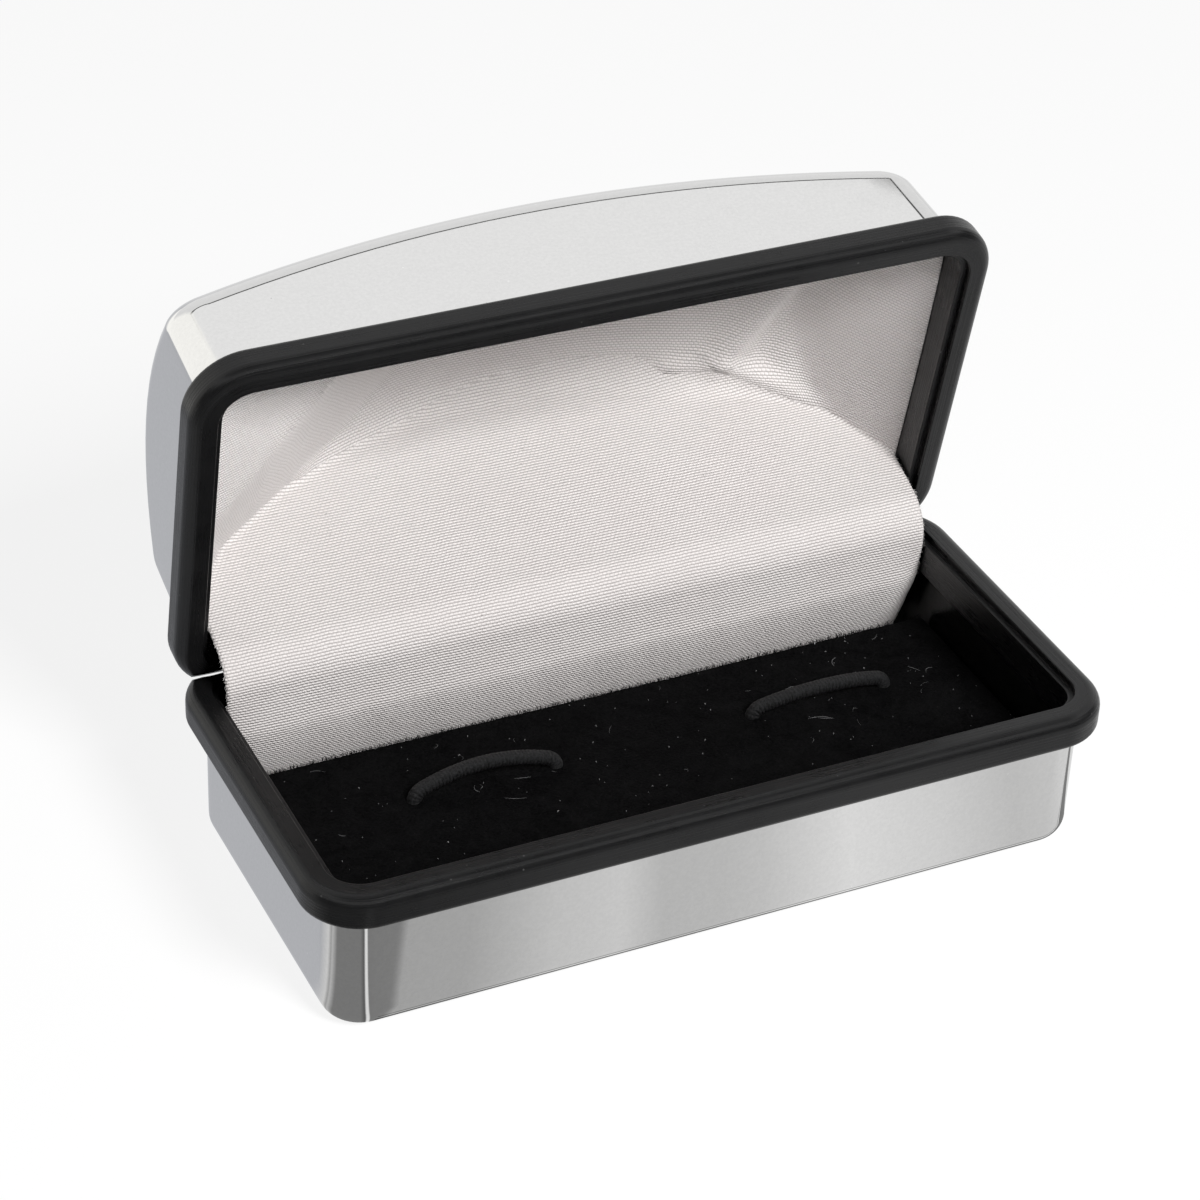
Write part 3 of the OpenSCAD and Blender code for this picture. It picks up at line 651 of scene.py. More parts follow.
lid_plate = dome_shell("lid_plate", (0.0, SHEET), STEEL_EDGE_DEPTH, bright_plate)
lid_plate.data.transform(open_lid)
weigh_normals(lid_plate)
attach(lid_plate, "lid")
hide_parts("lid_shell")

# ---------------------------------------------------------------------------
# Hinge: two knuckled leaves of nickelled steel riveted inside the rear skirts,
# a steel pin with peened ends, and a blued spring strip bowed round the knuckles.
def dull_metal(name, colour, streak):
    """Rolled or turned metal with fine streaks along its length and some tarnish."""
    material, n = new_material(name)
    lines = grain(n, 4.0, streak, detail=4.0)
    tarnish = grain(n, 0.4)
    dark = tuple(0.6 * c for c in colour)
    tone = n.mix(n.ramp(tarnish, [(0.4, 0.0), (0.75, 1.0)]), colour, dark)
    rough = n.math("ADD", n.math("MULTIPLY_ADD", lines, 0.2, 0.2), n.math("MULTIPLY", tarnish, 0.2))
    n.surface(lines, 0.3, 0.00005, {"Base Color": tone, "Metallic": 1.0, "Roughness": rough})
    return material


def dress(node, material):
    """Gives a CAD node its finish."""
    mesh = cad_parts[node].data
    mesh.materials.clear()
    mesh.materials.append(material)


nickelled = dull_metal("nickelled_steel", (0.62, 0.60, 0.56), (0.1, 1, 1))
for node in ("hinge_base_leaf", "hinge_lid_leaf"):
    dress(node, nickelled)
dress("hinge_pin", dull_metal("drawn_steel", (0.56, 0.56, 0.57), (0.1, 1, 1)))
aluminium = dull_metal("soft_aluminium", (0.72, 0.72, 0.73), (1, 1, 1))
for node in ("hinge_base_rivets", "hinge_lid_rivets"):
    dress(node, aluminium)


def lid_point(x, y, h):
    """A point drawn over the shut lid's mating face, on the open lid, in millimetres."""
    a = math.radians(-OPEN_ANGLE)
    dy, dz = y - AXIS_Y, h + LID_RIM_Z - AXIS_Z
    return (x, AXIS_Y + dy * math.cos(a) - dz * math.sin(a), AXIS_Z + dy * math.sin(a) + dz * math.cos(a))


def give_wall(obj, thickness):
    """Thickens a sheet by some millimetres, away from the side that shows."""
    wall = obj.modifiers.new("wall", "SOLIDIFY")
    wall.thickness, wall.offset = thickness * MM, -1
    bake_modifiers(obj)


def sheet_grid(name, grid, material, uv=None):
    """A mesh from rows of points in millimetres, with a UV map in millimetres."""
    rows, columns = grid.shape[:2]
    mesh = bpy.data.meshes.new(name)
    index = np.arange(rows * columns).reshape(rows, columns)
    quads = np.stack([index[:-1, :-1], index[:-1, 1:], index[1:, 1:], index[1:, :-1]], -1).reshape(-1, 4)
    mesh.from_pydata((grid.reshape(-1, 3) * MM).tolist(), [], quads.tolist())
    mesh.shade_smooth()
    if uv is not None:
        layer = mesh.uv_layers.new(name="cloth")
        layer.data.foreach_set("uv", uv.reshape(-1, 2)[quads.reshape(-1)].astype(np.float32).reshape(-1))
    obj = bpy.data.objects.new(name, mesh)
    bpy.context.collection.objects.link(obj)
    mesh.materials.append(material)
    return obj


def arc_lengths(grid, axis):
    """Length run along the rows or the columns of a grid of points."""
    step = np.linalg.norm(np.diff(grid, axis=axis), axis=-1)
    zero = np.zeros_like(np.take(step, [0], axis=axis))
    return np.concatenate([zero, np.cumsum(step, axis=axis)], axis=axis)


SPRING_W, SPRING_T, SPRING_R, SPRING_LEG = 7.0, 0.3, 1.8, 4.5
spring_path = [(AXIS_Y - SPRING_R, AXIS_Z - SPRING_LEG * (1 - k / 8)) for k in range(8)]
for k in range(25):
    a = math.radians(180 - OPEN_ANGLE * k / 24)
    spring_path.append((AXIS_Y + SPRING_R * math.cos(a), AXIS_Z + SPRING_R * math.sin(a)))
last = math.radians(180 - OPEN_ANGLE)
for k in range(1, 9):
    run = SPRING_LEG * k / 8
    spring_path.append((spring_path[32][0] + run * math.sin(last), spring_path[32][1] - run * math.cos(last)))
spring_grid = np.array([[(x, y, z) for x in np.linspace(-SPRING_W / 2, SPRING_W / 2, 9)]
                        for y, z in spring_path])
blued = dull_metal("blued_spring_steel", (0.30, 0.32, 0.36), (1, 0.1, 0.1))
spring = sheet_grid("spring", spring_grid, blued)
give_wall(spring, SPRING_T)
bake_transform(spring)
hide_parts("hinge_spring")

# ---------------------------------------------------------------------------
# Pad core: a card spacer, a grey board and a foam sheet under the velvet, with
# four crimps that hold the elastic's ends under the board.
def fibrous(name, colour, fleck, size, depth):
    """Board, card, foam or wadding: pressed fibres or cells of one colour with flecks."""
    material, n = new_material(name)
    cells = grain(n, size, detail=5.0, swirl=0.6)
    pulp = grain(n, 0.2, detail=2.0)
    tone = n.mix(n.ramp(cells, [(0.35, 0.0), (0.7, 1.0)]), colour, fleck)
    n.surface(cells, 0.6, depth * MM, {
        "Base Color": n.mix(n.math("MULTIPLY", pulp, 0.3), tone, fleck),
        "Roughness": n.math("MULTIPLY_ADD", cells, 0.2, 0.7)})
    return material


card = fibrous("grey_board", (0.34, 0.32, 0.28), (0.24, 0.22, 0.19), 3.0, 0.05)
for node in ("pad_riser", "pad_board"):
    dress(node, card)
dress("pad_foam", fibrous("dark_foam", (0.06, 0.06, 0.065), (0.03, 0.03, 0.035), 1.6, 0.2))
dress("loop_crimps", dull_metal("tinned_crimp", (0.60, 0.60, 0.61), (1, 1, 0.2)))
dress("lid_wadding", fibrous("white_wadding", (0.80, 0.79, 0.76), (0.66, 0.65, 0.62), 0.8, 0.3))

# ---------------------------------------------------------------------------
# Velvet: black cut-pile cover drawn over the foam and turned down round the
# board, with worn lint, dust and a soft edge of pile where it meets the satin.
PAD_LOW, PAD_HIGH = (Vector(c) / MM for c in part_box("pad_velvet"))
PAD_FRONT_CORNER, PAD_REAR_CORNER, PAD_ROUND, VELVET = 3.6, 0.8, 0.8, 0.7
LOOP_CENTRES, LOOP_HALF, LOOP_Y = (-17.0, 24.0), 8.5, 4.0
FEET = [(x + s * LOOP_HALF, LOOP_Y) for x in LOOP_CENTRES for s in (-1, 1)]


def pad_outline(inset):
    """The pad's plan, drawn in by an inset, from the right rear corner round."""
    corners = []
    for sx, sy in QUARTERS:
        r = max((PAD_REAR_CORNER if sy > 0 else PAD_FRONT_CORNER) - inset, 0.2)
        x = PAD_HIGH.x - inset - r if sx > 0 else PAD_LOW.x + inset + r
        y = PAD_HIGH.y - inset - r if sy > 0 else PAD_LOW.y + inset + r
        corners.append((x, y, r))
    return rounded_outline(corners, 8, (60, 24))


def pad_top(x, y):
    """Height of the velvet: nearly flat, soft between the loops and sunk at their feet."""
    swell = 0.10 * math.sin(0.11 * x + 0.8) * math.cos(0.17 * y) - 0.10
    sunk = sum(0.12 * math.exp(-((x - fx) ** 2 + (y - fy) ** 2) / 2.2) for fx, fy in FEET)
    return PAD_HIGH.z + swell - sunk


rings = [[(x, y, PAD_LOW.z + 0.1) for x, y in pad_outline(VELVET)],
         [(x, y, PAD_LOW.z) for x, y in pad_outline(VELVET / 2)],
         [(x, y, PAD_LOW.z + 0.3) for x, y in pad_outline(0)]]
rings += [[(x, y, pad_top(x, y) - PAD_ROUND * (1 - math.sin(math.radians(9 * k))))
           for x, y in pad_outline(PAD_ROUND * (1 - math.cos(math.radians(9 * k))))] for k in range(11)]
core = pad_outline(PAD_ROUND)
middle = Vector((0, (PAD_LOW.y + PAD_HIGH.y) / 2))
for k in range(1, 40):
    shrunk = [middle.lerp(Vector(p), 1 - k / 40) for p in core]
    rings.append([(p.x, p.y, pad_top(p.x, p.y)) for p in shrunk])
around = len(core)
points = [p for ring in rings for p in ring] + [(middle.x, middle.y, pad_top(*middle))]
faces = ring_faces(len(rings), around) + fan_faces((len(rings) - 1) * around, around, len(points) - 1)
faces.append(list(range(around))[::-1])


def pile(name):
    """Black cut pile: dull and deep, with fine tufts and softly combed patches."""
    material, n = new_material(name)
    tufts = grain(n, 3.4, detail=4.0)
    combed = grain(n, 0.22, swirl=1.5)
    tone = n.mix(n.ramp(n.math("ADD", n.math("MULTIPLY", tufts, 0.6), n.math("MULTIPLY", combed, 0.4)),
                        [(0.35, 0.0), (0.62, 1.0)]), (0.0012, 0.0012, 0.0013), (0.0050, 0.0050, 0.0052))
    n.surface(tufts, 1.0, 0.00025, {"Base Color": tone, "Roughness": n.math("MULTIPLY_ADD", tufts, 0.1, 0.9),
                                    "Specular IOR Level": 0.05})
    return material


velvet_black = pile("black_velvet")
velvet = outward(smooth_object("velvet", points, faces, velvet_black, 60))
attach(velvet, "base")
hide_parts("pad_velvet")


def scatter_tree(name):
    """Geometry nodes that strew copies of a small form over a mesh."""
    tree = bpy.data.node_groups.new(name, "GeometryNodeTree")
    tree.interface.new_socket("Geometry", in_out="INPUT", socket_type="NodeSocketGeometry")
    for label, default in (("Density", 1000.0), ("Least size", 0.5), ("Greatest size", 1.0)):
        socket = tree.interface.new_socket(label, in_out="INPUT", socket_type="NodeSocketFloat")
        socket.default_value = default
    for label, default in (("Least turn", (-0.3, -0.3, 0)), ("Greatest turn", (0.3, 0.3, 2 * math.pi))):
        socket = tree.interface.new_socket(label, in_out="INPUT", socket_type="NodeSocketVector")
        socket.default_value = default
    tree.interface.new_socket("Seed", in_out="INPUT", socket_type="NodeSocketInt")
    tree.interface.new_socket("Form", in_out="INPUT", socket_type="NodeSocketObject")
    tree.interface.new_socket("Finish", in_out="INPUT", socket_type="NodeSocketMaterial")
    tree.interface.new_socket("Geometry", in_out="OUTPUT", socket_type="NodeSocketGeometry")
    n = Nodes(tree)
    ins = n.add("NodeGroupInput")
    form = n.add("GeometryNodeObjectInfo", {"Object": ins.outputs["Form"]})
    spots = n.add("GeometryNodeDistributePointsOnFaces", {"Mesh": ins.outputs["Geometry"],
                                                           "Density": ins.outputs["Density"],
                                                           "Seed": ins.outputs["Seed"]})
    turn = n.add("FunctionNodeRandomValue", data_type="FLOAT_VECTOR")
    n.put(turn.inputs[0], ins.outputs["Least turn"])
    n.put(turn.inputs[1], ins.outputs["Greatest turn"])
    n.put(turn.inputs["Seed"], ins.outputs["Seed"])
    size = n.add("FunctionNodeRandomValue", data_type="FLOAT")
    n.put(size.inputs[2], ins.outputs["Least size"])
    n.put(size.inputs[3], ins.outputs["Greatest size"])
    n.put(size.inputs["Seed"], ins.outputs["Seed"])
    copies = n.add("GeometryNodeInstanceOnPoints", {"Points": spots.outputs["Points"],
                                                    "Instance": form.outputs["Geometry"],
                                                    "Rotation": turn.outputs[0],
                                                    "Scale": size.outputs[1]})
    real = n.add("GeometryNodeRealizeInstances", {"Geometry": copies})
    done = n.add("GeometryNodeSetMaterial", {"Geometry": real, "Material": ins.outputs["Finish"]})
    n.add("NodeGroupOutput", {"Geometry": done})
    return tree


def strewn(name, ground, tree, settings):
    """A mesh of its own with what the tree strews over a ground mesh."""
    obj = bpy.data.objects.new(name, ground.data.copy())
    bpy.context.collection.objects.link(obj)
    grow = obj.modifiers.new("strew", "NODES")
    grow.node_group = tree
    names = {s.name: s.identifier for s in tree.interface.items_tree if s.in_out == "INPUT"}
    for label, value in settings.items():
        grow[names[label]] = value
    bake_modifiers(obj)
    return obj


def hair(name, length, radius, curl, seed, steps=7, sides=4):
    """A curled fibre lying along X, as a thin tube that tapers to its ends."""
    rng = random.Random(seed)
    phase, lift = rng.uniform(0, 6.28), rng.uniform(0.5, 1.0)
    points = []
    for i in range(steps + 1):
        t = i / steps
        x, y = (t - 0.5) * length, curl * math.sin(phase + 4.0 * t) * length
        z = 0.05 + 0.12 * lift * math.sin(math.pi * t)
        r = radius * (0.35 + 0.65 * math.sin(math.pi * min(max(t, 0.08), 0.92)))
        points += [(x, y + r * math.cos(2 * math.pi * k / sides), z + r * math.sin(2 * math.pi * k / sides))
                   for k in range(sides)]
    return outward(smooth_object(name, points, tube_faces(steps + 1, sides)))


def plain_cloth(name, colour, second, rough, size=2.0):
    """Fibre or thread of one colour that changes a little along its length."""
    material, n = new_material(name)
    slubs = grain(n, size, detail=2.0)
    n.surface(slubs, 0.3, 0.00003, {"Base Color": n.mix(slubs, colour, second),
                                    "Roughness": n.math("MULTIPLY_ADD", slubs, 0.2, rough)})
    return material


top_only = velvet.data.copy()
ground_shape = bmesh.new()
ground_shape.from_mesh(top_only)
LEVEL, LINT_ABOVE = 0.6, 0.0078      # lint lies on faces this level and this high, in metres
bare = [f for f in ground_shape.faces if f.normal.z < LEVEL or f.calc_center_median().z < LINT_ABOVE]
bmesh.ops.delete(ground_shape, geom=bare, context="FACES")
ground_shape.to_mesh(top_only)
ground_shape.free()
ground = bpy.data.objects.new("ground", top_only)

lint_white = plain_cloth("lint", (0.20, 0.20, 0.20), (0.42, 0.42, 0.43), 0.6)
strew = scatter_tree("strew")
LINT = (("lint_curled", 1.4, 0.014, 0.22, 11, 11000.0), ("lint_long", 2.6, 0.012, 0.08, 12, 3000.0),
        ("dust", 0.14, 0.030, 0.0, 13, 60000.0), ("dust_bright", 0.20, 0.05, 0.0, 14, 3500.0))
lint_pieces = []
for name, length, radius, curl, seed, density in LINT:
    form = hair(name + "_form", length, radius, curl, seed)
    lint_pieces.append(strewn(name, ground, strew, {
        "Density": density, "Seed": seed, "Least size": 0.5, "Greatest size": 1.3, "Form": form,
        "Finish": lint_white}))
    bpy.data.objects.remove(form)
bpy.data.objects.remove(ground)

# the pile that stands up against the satin's foot
rear = np.linspace(PAD_LOW.x + 0.3, PAD_HIGH.x - 0.3, 60)
strip = [(x, PAD_HIGH.y - d, pad_top(x, PAD_HIGH.y) - 0.15) for d in (0.55, 0.02) for x in rear]
edge = smooth_object("edge", strip, [(i, i + 1, i + 61, i + 60) for i in range(59)])
tuft = hair("tuft", 0.62, 0.035, 0.10, 21, steps=3, sides=3)
tuft.data.transform(Matrix.Rotation(math.radians(90), 4, "Y"))
lint_pieces.append(strewn("pile_edge", edge, strew, {
    "Density": 2.4e7, "Seed": 5, "Least size": 0.5, "Greatest size": 1.25, "Least turn": (-0.5, -0.5, 0),
    "Greatest turn": (0.5, 0.5, 6.28), "Form": tuft, "Finish": velvet_black}))
bpy.data.objects.remove(tuft)
bpy.data.objects.remove(edge)
for piece in lint_pieces:
    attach(piece, "base")

# ---------------------------------------------------------------------------
# Elastic loops: round black braided elastic, pulled up through the pad and
# crimped under the board, so each stands in a low arch.
LOOP_R, LOOP_BEND, LOOP_RISE, RIB_PITCH = 0.92, 1.6, 2.15, 0.42
BEND_DEPTH = 0.5         # how far below the velvet a loop starts to bend
BOARD_UNDER = 1.95       # height of the loops' cut ends, under the board
foot_z = PAD_HIGH.z - BEND_DEPTH
slope = 2 * math.atan((LOOP_RISE + BEND_DEPTH - LOOP_BEND) / (LOOP_HALF - LOOP_BEND))
arc_r = LOOP_BEND + (LOOP_HALF - LOOP_BEND) / math.sin(slope)


def loop_line(bottom_z, step=0.07):
    """Centre line of a loop in the XZ plane, evenly stepped."""
    line = [(-LOOP_HALF, bottom_z + (foot_z - bottom_z) * k / 20) for k in range(20)]
    line += arc(-LOOP_HALF + LOOP_BEND, foot_z, LOOP_BEND, 180, 90 + math.degrees(slope), 16)
    line += arc(0, PAD_HIGH.z + LOOP_RISE - arc_r, arc_r, 90 + math.degrees(slope),
                90 - math.degrees(slope), 60)[1:-1]
    line += arc(LOOP_HALF - LOOP_BEND, foot_z, LOOP_BEND, 90 - math.degrees(slope), 0, 16)
    line += [(LOOP_HALF, foot_z + (bottom_z - foot_z) * k / 20) for k in range(1, 21)]
    line = np.array(line)
    run = np.concatenate([[0], np.cumsum(np.linalg.norm(np.diff(line, axis=0), axis=1))])
    at = np.arange(0, run[-1], step)
    return np.stack([np.interp(at, run, line[:, 0]), np.interp(at, run, line[:, 1])], -1), at


def braid(name):
    """Black rayon braid: fluffy thread, uneven in tone."""
    material, n = new_material(name)
    fluff = grain(n, 6.0, detail=4.0)
    tone = n.mix(n.ramp(fluff, [(0.35, 0.0), (0.7, 1.0)]), (0.003, 0.003, 0.003), (0.021, 0.021, 0.022))
    n.surface(fluff, 1.0, 0.00012, {"Base Color": tone, "Roughness": n.math("MULTIPLY_ADD", fluff, 0.2, 0.5),
                                    "Specular IOR Level": 0.35})
    return material


braided = braid("black_braid")
SIDES = 28
LOOPS = (("elastic_left", "loop_left", 0.5), ("elastic_right", "loop_right", -0.6))
for (name, node, skew), centre_x in zip(LOOPS, LOOP_CENTRES):
    line, at = loop_line(BOARD_UNDER)
    tangent = np.gradient(line, axis=0)
    tangent /= np.linalg.norm(tangent, axis=1)[:, None]
    points = []
    for (x, z), (tx, tz), s in zip(line, tangent, at):
        lean = skew * math.sin(math.pi * (x + LOOP_HALF) / (2 * LOOP_HALF)) if z > PAD_HIGH.z else 0
        for k in range(SIDES):
            a = 2 * math.pi * k / SIDES
            twist = s / RIB_PITCH + 0.35 * math.sin(a)
            rib = abs(math.sin(math.pi * twist)) ** 0.6
            weave = 0.5 + 0.5 * math.cos(6 * a + math.pi * math.floor(twist))
            r = LOOP_R * (0.74 + 0.23 * rib * (0.65 - 0.35 * math.cos(a)) + 0.03 * weave)
            points.append((centre_x + x - tz * r * math.cos(a), LOOP_Y + lean + r * math.sin(a),
                           z + tx * r * math.cos(a)))
    loop = outward(smooth_object(name, points, tube_faces(len(line), SIDES), braided, 80))
    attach(loop, "base")
    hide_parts(node)

# ---------------------------------------------------------------------------
# Satin in the lid: ribbed pinkish-white satin stretched over the wadding from
# rim to rim, slanted at the ends, with the folds it was glued down with.
def crease(x, y, line, width):
    """How near each point lies to a line of creases: 1 on it, 0 away from it."""
    best = np.full(np.shape(x), 1e9)
    for (ax, ay), (bx, by) in zip(line, line[1:]):
        t = np.clip(((x - ax) * (bx - ax) + (y - ay) * (by - ay)) / ((bx - ax) ** 2 + (by - ay) ** 2), 0, 1)
        best = np.minimum(best, np.hypot(x - ax - t * (bx - ax), y - ay - t * (by - ay)))
    return np.exp(-(best / width) ** 2)


def soft_least(values, softness):
    """The least of several heights, with the corners between them rounded."""
    total = sum(np.exp(-v / softness) for v in values)
    return -softness * np.log(total)


EDGE_X, EDGE_Y, LINING_CORNER = 42.75, 19.0, 3.0
EDGE_H, EDGE_TURN = 5.0, 0.35        # height of the edge over the lid's rim, and its turn down
CEILING_H, CEILING_FALL = 25.0, (0.0074, 0.0145)
PANEL_RISE, PANEL_BOW, PANEL_LOW = 1.40, 0.5, 0.35   # the slanted end panels
FRONT_RISE = 4.5                     # rise of the front and the rear panel
PANEL_ROUNDING = 0.3
# where the cloth is pulled straight across the left end: a height at a place, its
# rise along X and Y, and the least that it rises along X from the left edge
PULL_H, PULL_PLACE, PULL_RISE, PULL_LEAST = 21.0, (-20.0, 7.5), (0.66, 0.36), 0.35
# the folds: height (down where negative), width and line of each
FOLDS = ((-1.25, 1.5, [(33.5, -12.0), (31.6, -3.4), (28.9, 2.4), (26.0, 7.4)]),   # the pleat's valley
         (-0.60, 1.2, [(20.0, 9.0), (26.0, 8.2), (31.0, 9.9), (35.9, 11.7)]),     # by the curtain, right
         (0.85, 1.7, [(36.5, -9.0), (33.6, -2.0), (31.6, 4.0), (31.0, 7.0)]),     # the pleat's ridge
         (-0.60, 1.3, [(-26.0, 11.0), (-12.0, 11.0), (0.0, 11.2)]),               # by the curtain, left
         (0.45, 2.6, [(-12.0, 7.0), (4.0, 8.0), (16.0, 9.0)]),
         (-0.25, 4.0, [(-24.0, -8.0), (-10.0, 2.0), (4.0, 6.0)]))                 # slack across the ceiling


def ceiling(x, y):
    return CEILING_H - CEILING_FALL[0] * x ** 2 - CEILING_FALL[1] * y ** 2


def satin_height(x, y):
    """Height of the satin over the lid's rim at a point of the plan."""
    bow = 1 - (y / 24.0) ** 2
    right = EDGE_H + (EDGE_X - x) * PANEL_RISE - PANEL_BOW * bow - PANEL_LOW
    left = EDGE_H + (EDGE_X + x) * PANEL_RISE - PANEL_BOW * bow - PANEL_LOW
    front = EDGE_H + (EDGE_Y + y) * FRONT_RISE
    rear = EDGE_H + (EDGE_Y - y) * FRONT_RISE
    pulled = np.maximum(PULL_H + PULL_RISE[0] * (x - PULL_PLACE[0]) + PULL_RISE[1] * (y - PULL_PLACE[1]),
                        EDGE_H + PULL_LEAST * (EDGE_X + x))
    h = soft_least([ceiling(x, y), right, left, front, rear, pulled], PANEL_ROUNDING)
    for height, width, line in FOLDS:
        h = h + height * crease(x, y, line, width)
    return h


def satin_outline(inset):
    """The lining's plan inside the skirt, drawn in by an inset."""
    r = max(LINING_CORNER - inset, 0.3)
    corners = [(sx * (EDGE_X - inset - r), sy * (EDGE_Y - inset - r), r) for sx, sy in QUARTERS]
    return np.array(rounded_outline(corners, 10, (70, 36)))


ROW_PITCH, DASH_PITCH = 0.36, 0.52   # of the weave: between ribs, and along one
FACE_TONES = (0.700, 0.662, 0.650), (0.722, 0.690, 0.678)
# the tone of the gaps between the ribs is painted shade, far darker than the satin's own face
GAP_SHADE_TONE, SPECK_TONE = (0.43, 0.402, 0.393), (0.20, 0.18, 0.17)


def ribbed_satin(name):
    """Satin with raised ribs along its weft, broken like brickwork by the warp."""
    material, n = new_material(name)
    cloth = n.add("ShaderNodeSeparateXYZ", {0: n.add("ShaderNodeUVMap", uv_map="cloth")})
    flat = n.add("ShaderNodeUVMap", uv_map="cloth")
    drift = n.add("ShaderNodeTexNoise", {"Vector": flat, "Scale": 0.35, "Detail": 2.0})
    v = n.math("DIVIDE", n.math("MULTIPLY_ADD", drift, 0.25, cloth.outputs["Y"]), ROW_PITCH)
    row = n.math("FLOOR", v)
    across = n.math("FRACT", v)
    u = n.math("ADD", n.math("DIVIDE", cloth.outputs["X"], DASH_PITCH), n.math("MULTIPLY", row, 0.5))
    uneven = n.math("MULTIPLY", n.math("SINE", n.math("MULTIPLY", row, 12.9)), 0.10)
    along = n.math("FRACT", n.math("ADD", u, uneven))
    rib = n.math("SINE", n.math("MULTIPLY", across, math.pi))
    breaks = n.ramp(n.math("SINE", n.math("MULTIPLY", along, math.pi)), [(0.15, 0.0), (0.75, 1.0)])
    height = n.math("MULTIPLY", rib, n.math("MULTIPLY_ADD", breaks, 0.50, 0.50))
    patch = n.add("ShaderNodeTexNoise", {"Vector": flat, "Scale": 0.09, "Detail": 3.0})
    yarn = n.add("ShaderNodeTexNoise", {"Vector": flat, "Scale": 3.0, "Detail": 2.0})
    long_specks = n.add("ShaderNodeMapping", {"Vector": flat, "Scale": (0.8, 2.0, 1)})
    specks = n.add("ShaderNodeTexVoronoi", {"Vector": long_specks, "Scale": 0.5})
    chance = n.ramp(n.add("ShaderNodeSeparateColor", {0: specks.outputs["Color"]}).outputs[0],
                    [(0.55, 0.0), (0.60, 1.0)])
    speck = n.math("MULTIPLY", chance, n.ramp(specks.outputs["Distance"], [(0.03, 1.0), (0.07, 0.0)]))
    face = n.mix(n.ramp(patch, [(0.3, 0.0), (0.7, 1.0)]), *FACE_TONES)
    # painted shade and sheen: the colour falls from the raised dashes to the dark gap tone, standing in for
    # the shade in the gaps and the sheen on the dashes
    shaded = n.mix(n.ramp(height, [(0.10, 1.0), (0.70, 0.0)]), face, GAP_SHADE_TONE)
    tone = n.mix(n.math("MULTIPLY", speck, 0.75), shaded, SPECK_TONE)
    n.surface(n.math("MULTIPLY_ADD", yarn, 0.25, height), 0.9, 0.00012, {
        "Base Color": tone, "Roughness": n.math("MULTIPLY_ADD", yarn, 0.15, 0.38),
        "Specular IOR Level": 0.45, "Sheen Weight": 0.15, "Sheen Roughness": 0.4})
    return material


satin = ribbed_satin("ribbed_satin")
LINING_T = 0.3
insets = [0.0, 0.25, 0.5, 0.8, 1.1, 1.4, 1.8, 2.2, 2.6] + list(np.linspace(3.0, 9.5, 20))
rings = [satin_outline(i) for i in insets]
rings += [rings[-1] * (1 - k / 30) for k in range(1, 31)]
grid = np.stack(rings)
grid = np.concatenate([grid, grid[:, :1]], axis=1)
heights = satin_height(grid[..., 0], grid[..., 1])
heights[0] = heights[1] - EDGE_TURN
plan_points = np.dstack([grid, heights])


def unrolled(length_of):
    """Length of the satin along a line of the ceiling, from its middle out."""
    at = np.linspace(0, EDGE_X, 400)
    x, y = (at, 0 * at) if length_of == "x" else (0 * at, np.minimum(at, EDGE_Y))
    rise = satin_height(x, y)
    return at, np.concatenate([[0], np.cumsum(np.hypot(np.diff(at), np.diff(rise)))])


table_x, table_y = unrolled("x"), unrolled("y")
cloth_u = np.sign(grid[..., 0]) * np.interp(np.abs(grid[..., 0]), *table_x)
cloth_v = np.sign(grid[..., 1]) * np.interp(np.abs(grid[..., 1]), *table_y)
open_points = np.apply_along_axis(lambda p: lid_point(*p), 2, plan_points)
lid_satin = sheet_grid("lid_satin", open_points, satin, np.dstack([cloth_u, cloth_v]))
shape = bmesh.new()
shape.from_mesh(lid_satin.data)
bmesh.ops.remove_doubles(shape, verts=shape.verts, dist=1e-6)
shape.to_mesh(lid_satin.data)
shape.free()
lid_satin.data.shade_smooth()
toward = Vector(lid_point(0, 0, 0)) * MM - Vector(lid_point(0, 0, 24)) * MM
if lid_satin.data.polygons[len(lid_satin.data.polygons) // 2].normal.dot(toward) < 0:
    lid_satin.data.flip_normals()
give_wall(lid_satin, LINING_T)
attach(lid_satin, "lid")
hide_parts("lid_lining")

# ---------------------------------------------------------------------------
# Satin curtain: one width of the same satin, hemmed behind the pad, up over the
# hinge and into the lid, where it is glued along the ceiling. Its cut ends fray.
CURTAIN_Y, CURTAIN_HALF, CURTAIN_HEM, CURTAIN_T = 14.75, 42.6, 1.5, 0.28
CURTAIN_R = AXIS_Y - CURTAIN_Y
CURTAIN_LEAN = 9.5       # degrees by which it turns less round the hinge than the lid does
# size of the turn into the ceiling: at the left, what it gains along X, and what it
# loses again towards the right, each as an amount with its start and run along X
TURN_LEFT, TURN_GAIN, TURN_LOSS = 0.8, (2.4, -12.0, 18.0), (2.7, 22.0, 12.0)
FOOT_LEAN, FOOT_TOP, FOOT_RUN, FOOT_CURVE = 3.2, 13.8, 9.0, 1.4   # the foot's lean to the rear
FRAY_WIDTH = 0.12


def shut(y, z):
    """Where a point of the open lid lies over the shut lid's mating face."""
    a = math.radians(OPEN_ANGLE)
    dy, dz = y - AXIS_Y, z - AXIS_Z
    return (AXIS_Y + dy * math.cos(a) - dz * math.sin(a),
            AXIS_Z - LID_RIM_Z + dy * math.sin(a) + dz * math.cos(a))


def ceiling_at(x, y):
    return float(satin_height(np.float64(x), np.float64(y)))


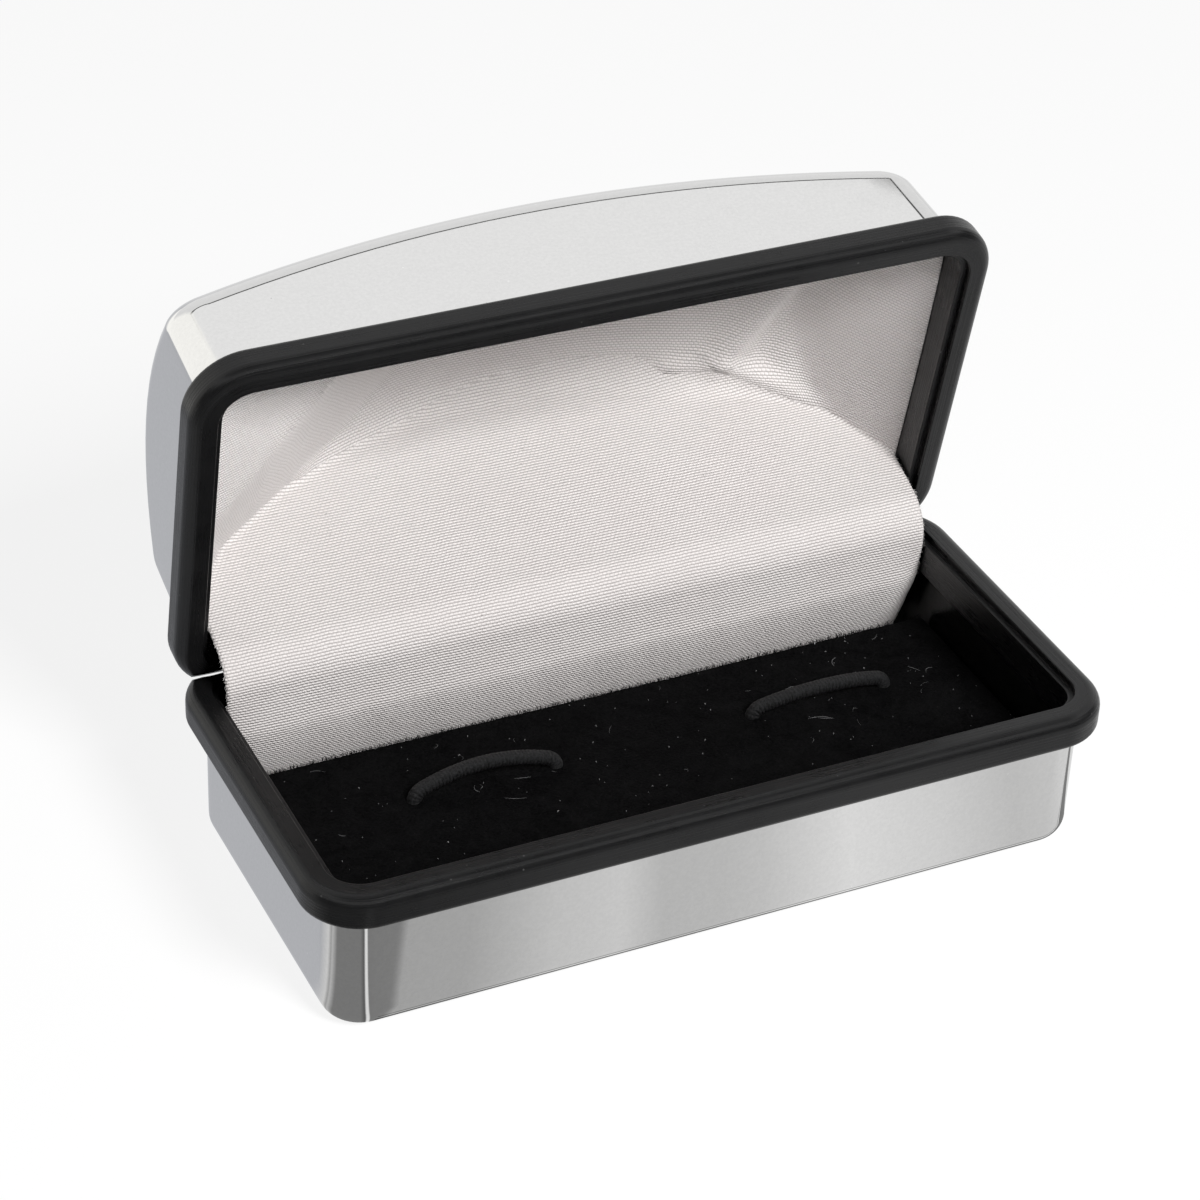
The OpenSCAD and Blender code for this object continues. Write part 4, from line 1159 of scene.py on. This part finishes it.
def curtain_column(x):
    """The curtain's line in the YZ plane at a place along the box."""
    line = [(CURTAIN_Y, z) for z in np.linspace(CURTAIN_HEM, AXIS_Z - 0.01, 44)]
    line += arc(AXIS_Y, AXIS_Z, CURTAIN_R, 180, 180 - (OPEN_ANGLE - CURTAIN_LEAN), 40)
    start, before = (np.array(shut(*line[k])) for k in (-1, -2))
    ahead = (start - before) / np.linalg.norm(start - before)
    near, far = 0.0, 34.0
    while far - near > 0.005:
        reach = (near + far) / 2
        y, h = start + ahead * reach
        near, far = (near, reach) if h > ceiling_at(x, y) else (reach, far)
    gain, loss = (amount * min(max((x - first) / run, 0), 1) for amount, first, run in (TURN_GAIN, TURN_LOSS))
    turn = TURN_LEFT + gain - loss
    a, corner = start + ahead * (near - turn), start + ahead * near
    b = np.array((corner[0] - turn, ceiling_at(x, corner[0] - turn) + 0.05))
    upper = [start + (a - start) * k / 40 for k in range(1, 41)]
    upper += [(1 - t) ** 2 * a + 2 * t * (1 - t) * corner + t * t * b for t in np.arange(1, 15) / 14]
    upper += [np.array((b[0] - 0.4 * k, ceiling_at(x, b[0] - 0.4 * k) + 0.05 + 0.07 * k))
              for k in range(1, 7)]
    return line + [lid_point(x, *p)[1:] for p in upper]


columns = np.linspace(-CURTAIN_HALF, CURTAIN_HALF, 170)
lines = np.array([curtain_column(x) for x in columns])
grid = np.zeros((lines.shape[1], len(columns), 3))
grid[..., 0] = columns
grid[..., 1:] = lines.transpose(1, 0, 2)
cloth_uv = np.dstack([grid[..., 0], arc_lengths(grid, 0)])
x, z = grid[..., 0], grid[..., 2]
low = np.clip((AXIS_Z - 1.0 - z) / 8.0, 0, 1)
curled = np.clip((np.abs(x) - 38.5) / 4.1, 0, 1)
grid[..., 1] += low * (0.08 * np.sin(0.23 * x + 1.0) + 0.04 * np.sin(0.9 * x) + 1.2 * curled ** 2)
grid[..., 1] += FOOT_LEAN * np.clip((FOOT_TOP - z) / FOOT_RUN, 0, 1) ** FOOT_CURVE
curtain = sheet_grid("satin_curtain", grid, satin, cloth_uv)
if curtain.data.polygons[0].normal.y > 0:
    curtain.data.flip_normals()
give_wall(curtain, CURTAIN_T)
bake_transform(curtain)
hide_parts("hinge_curtain")

fray_form = hair("fray_form", 0.55, 0.020, 0.22, 31, steps=4, sides=3)
thread = plain_cloth("satin_thread", (0.62, 0.59, 0.58), (0.86, 0.83, 0.82), 0.5)
ends = []
for side, column in ((-1, 0), (1, -1)):
    rows = [(side * end_x, y, z) for end_x in (CURTAIN_HALF - FRAY_WIDTH, CURTAIN_HALF)
            for y, z in grid[30:-8, column, 1:]]
    count = len(rows) // 2
    hem = smooth_object("hem", rows, [(i, i + 1, count + i + 1, count + i) for i in range(count - 1)])
    ends.append(strewn("fray_left" if side < 0 else "fray_right", hem, strew, {
        "Density": 5.0e7, "Seed": 40 + side, "Least size": 0.5, "Greatest size": 1.15,
        "Least turn": (-0.5, -0.9, -0.6), "Greatest turn": (0.5, 0.9, 0.6), "Form": fray_form,
        "Finish": thread}))
    bpy.data.objects.remove(hem)
bpy.data.objects.remove(fray_form)
for end in ends:
    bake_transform(end)
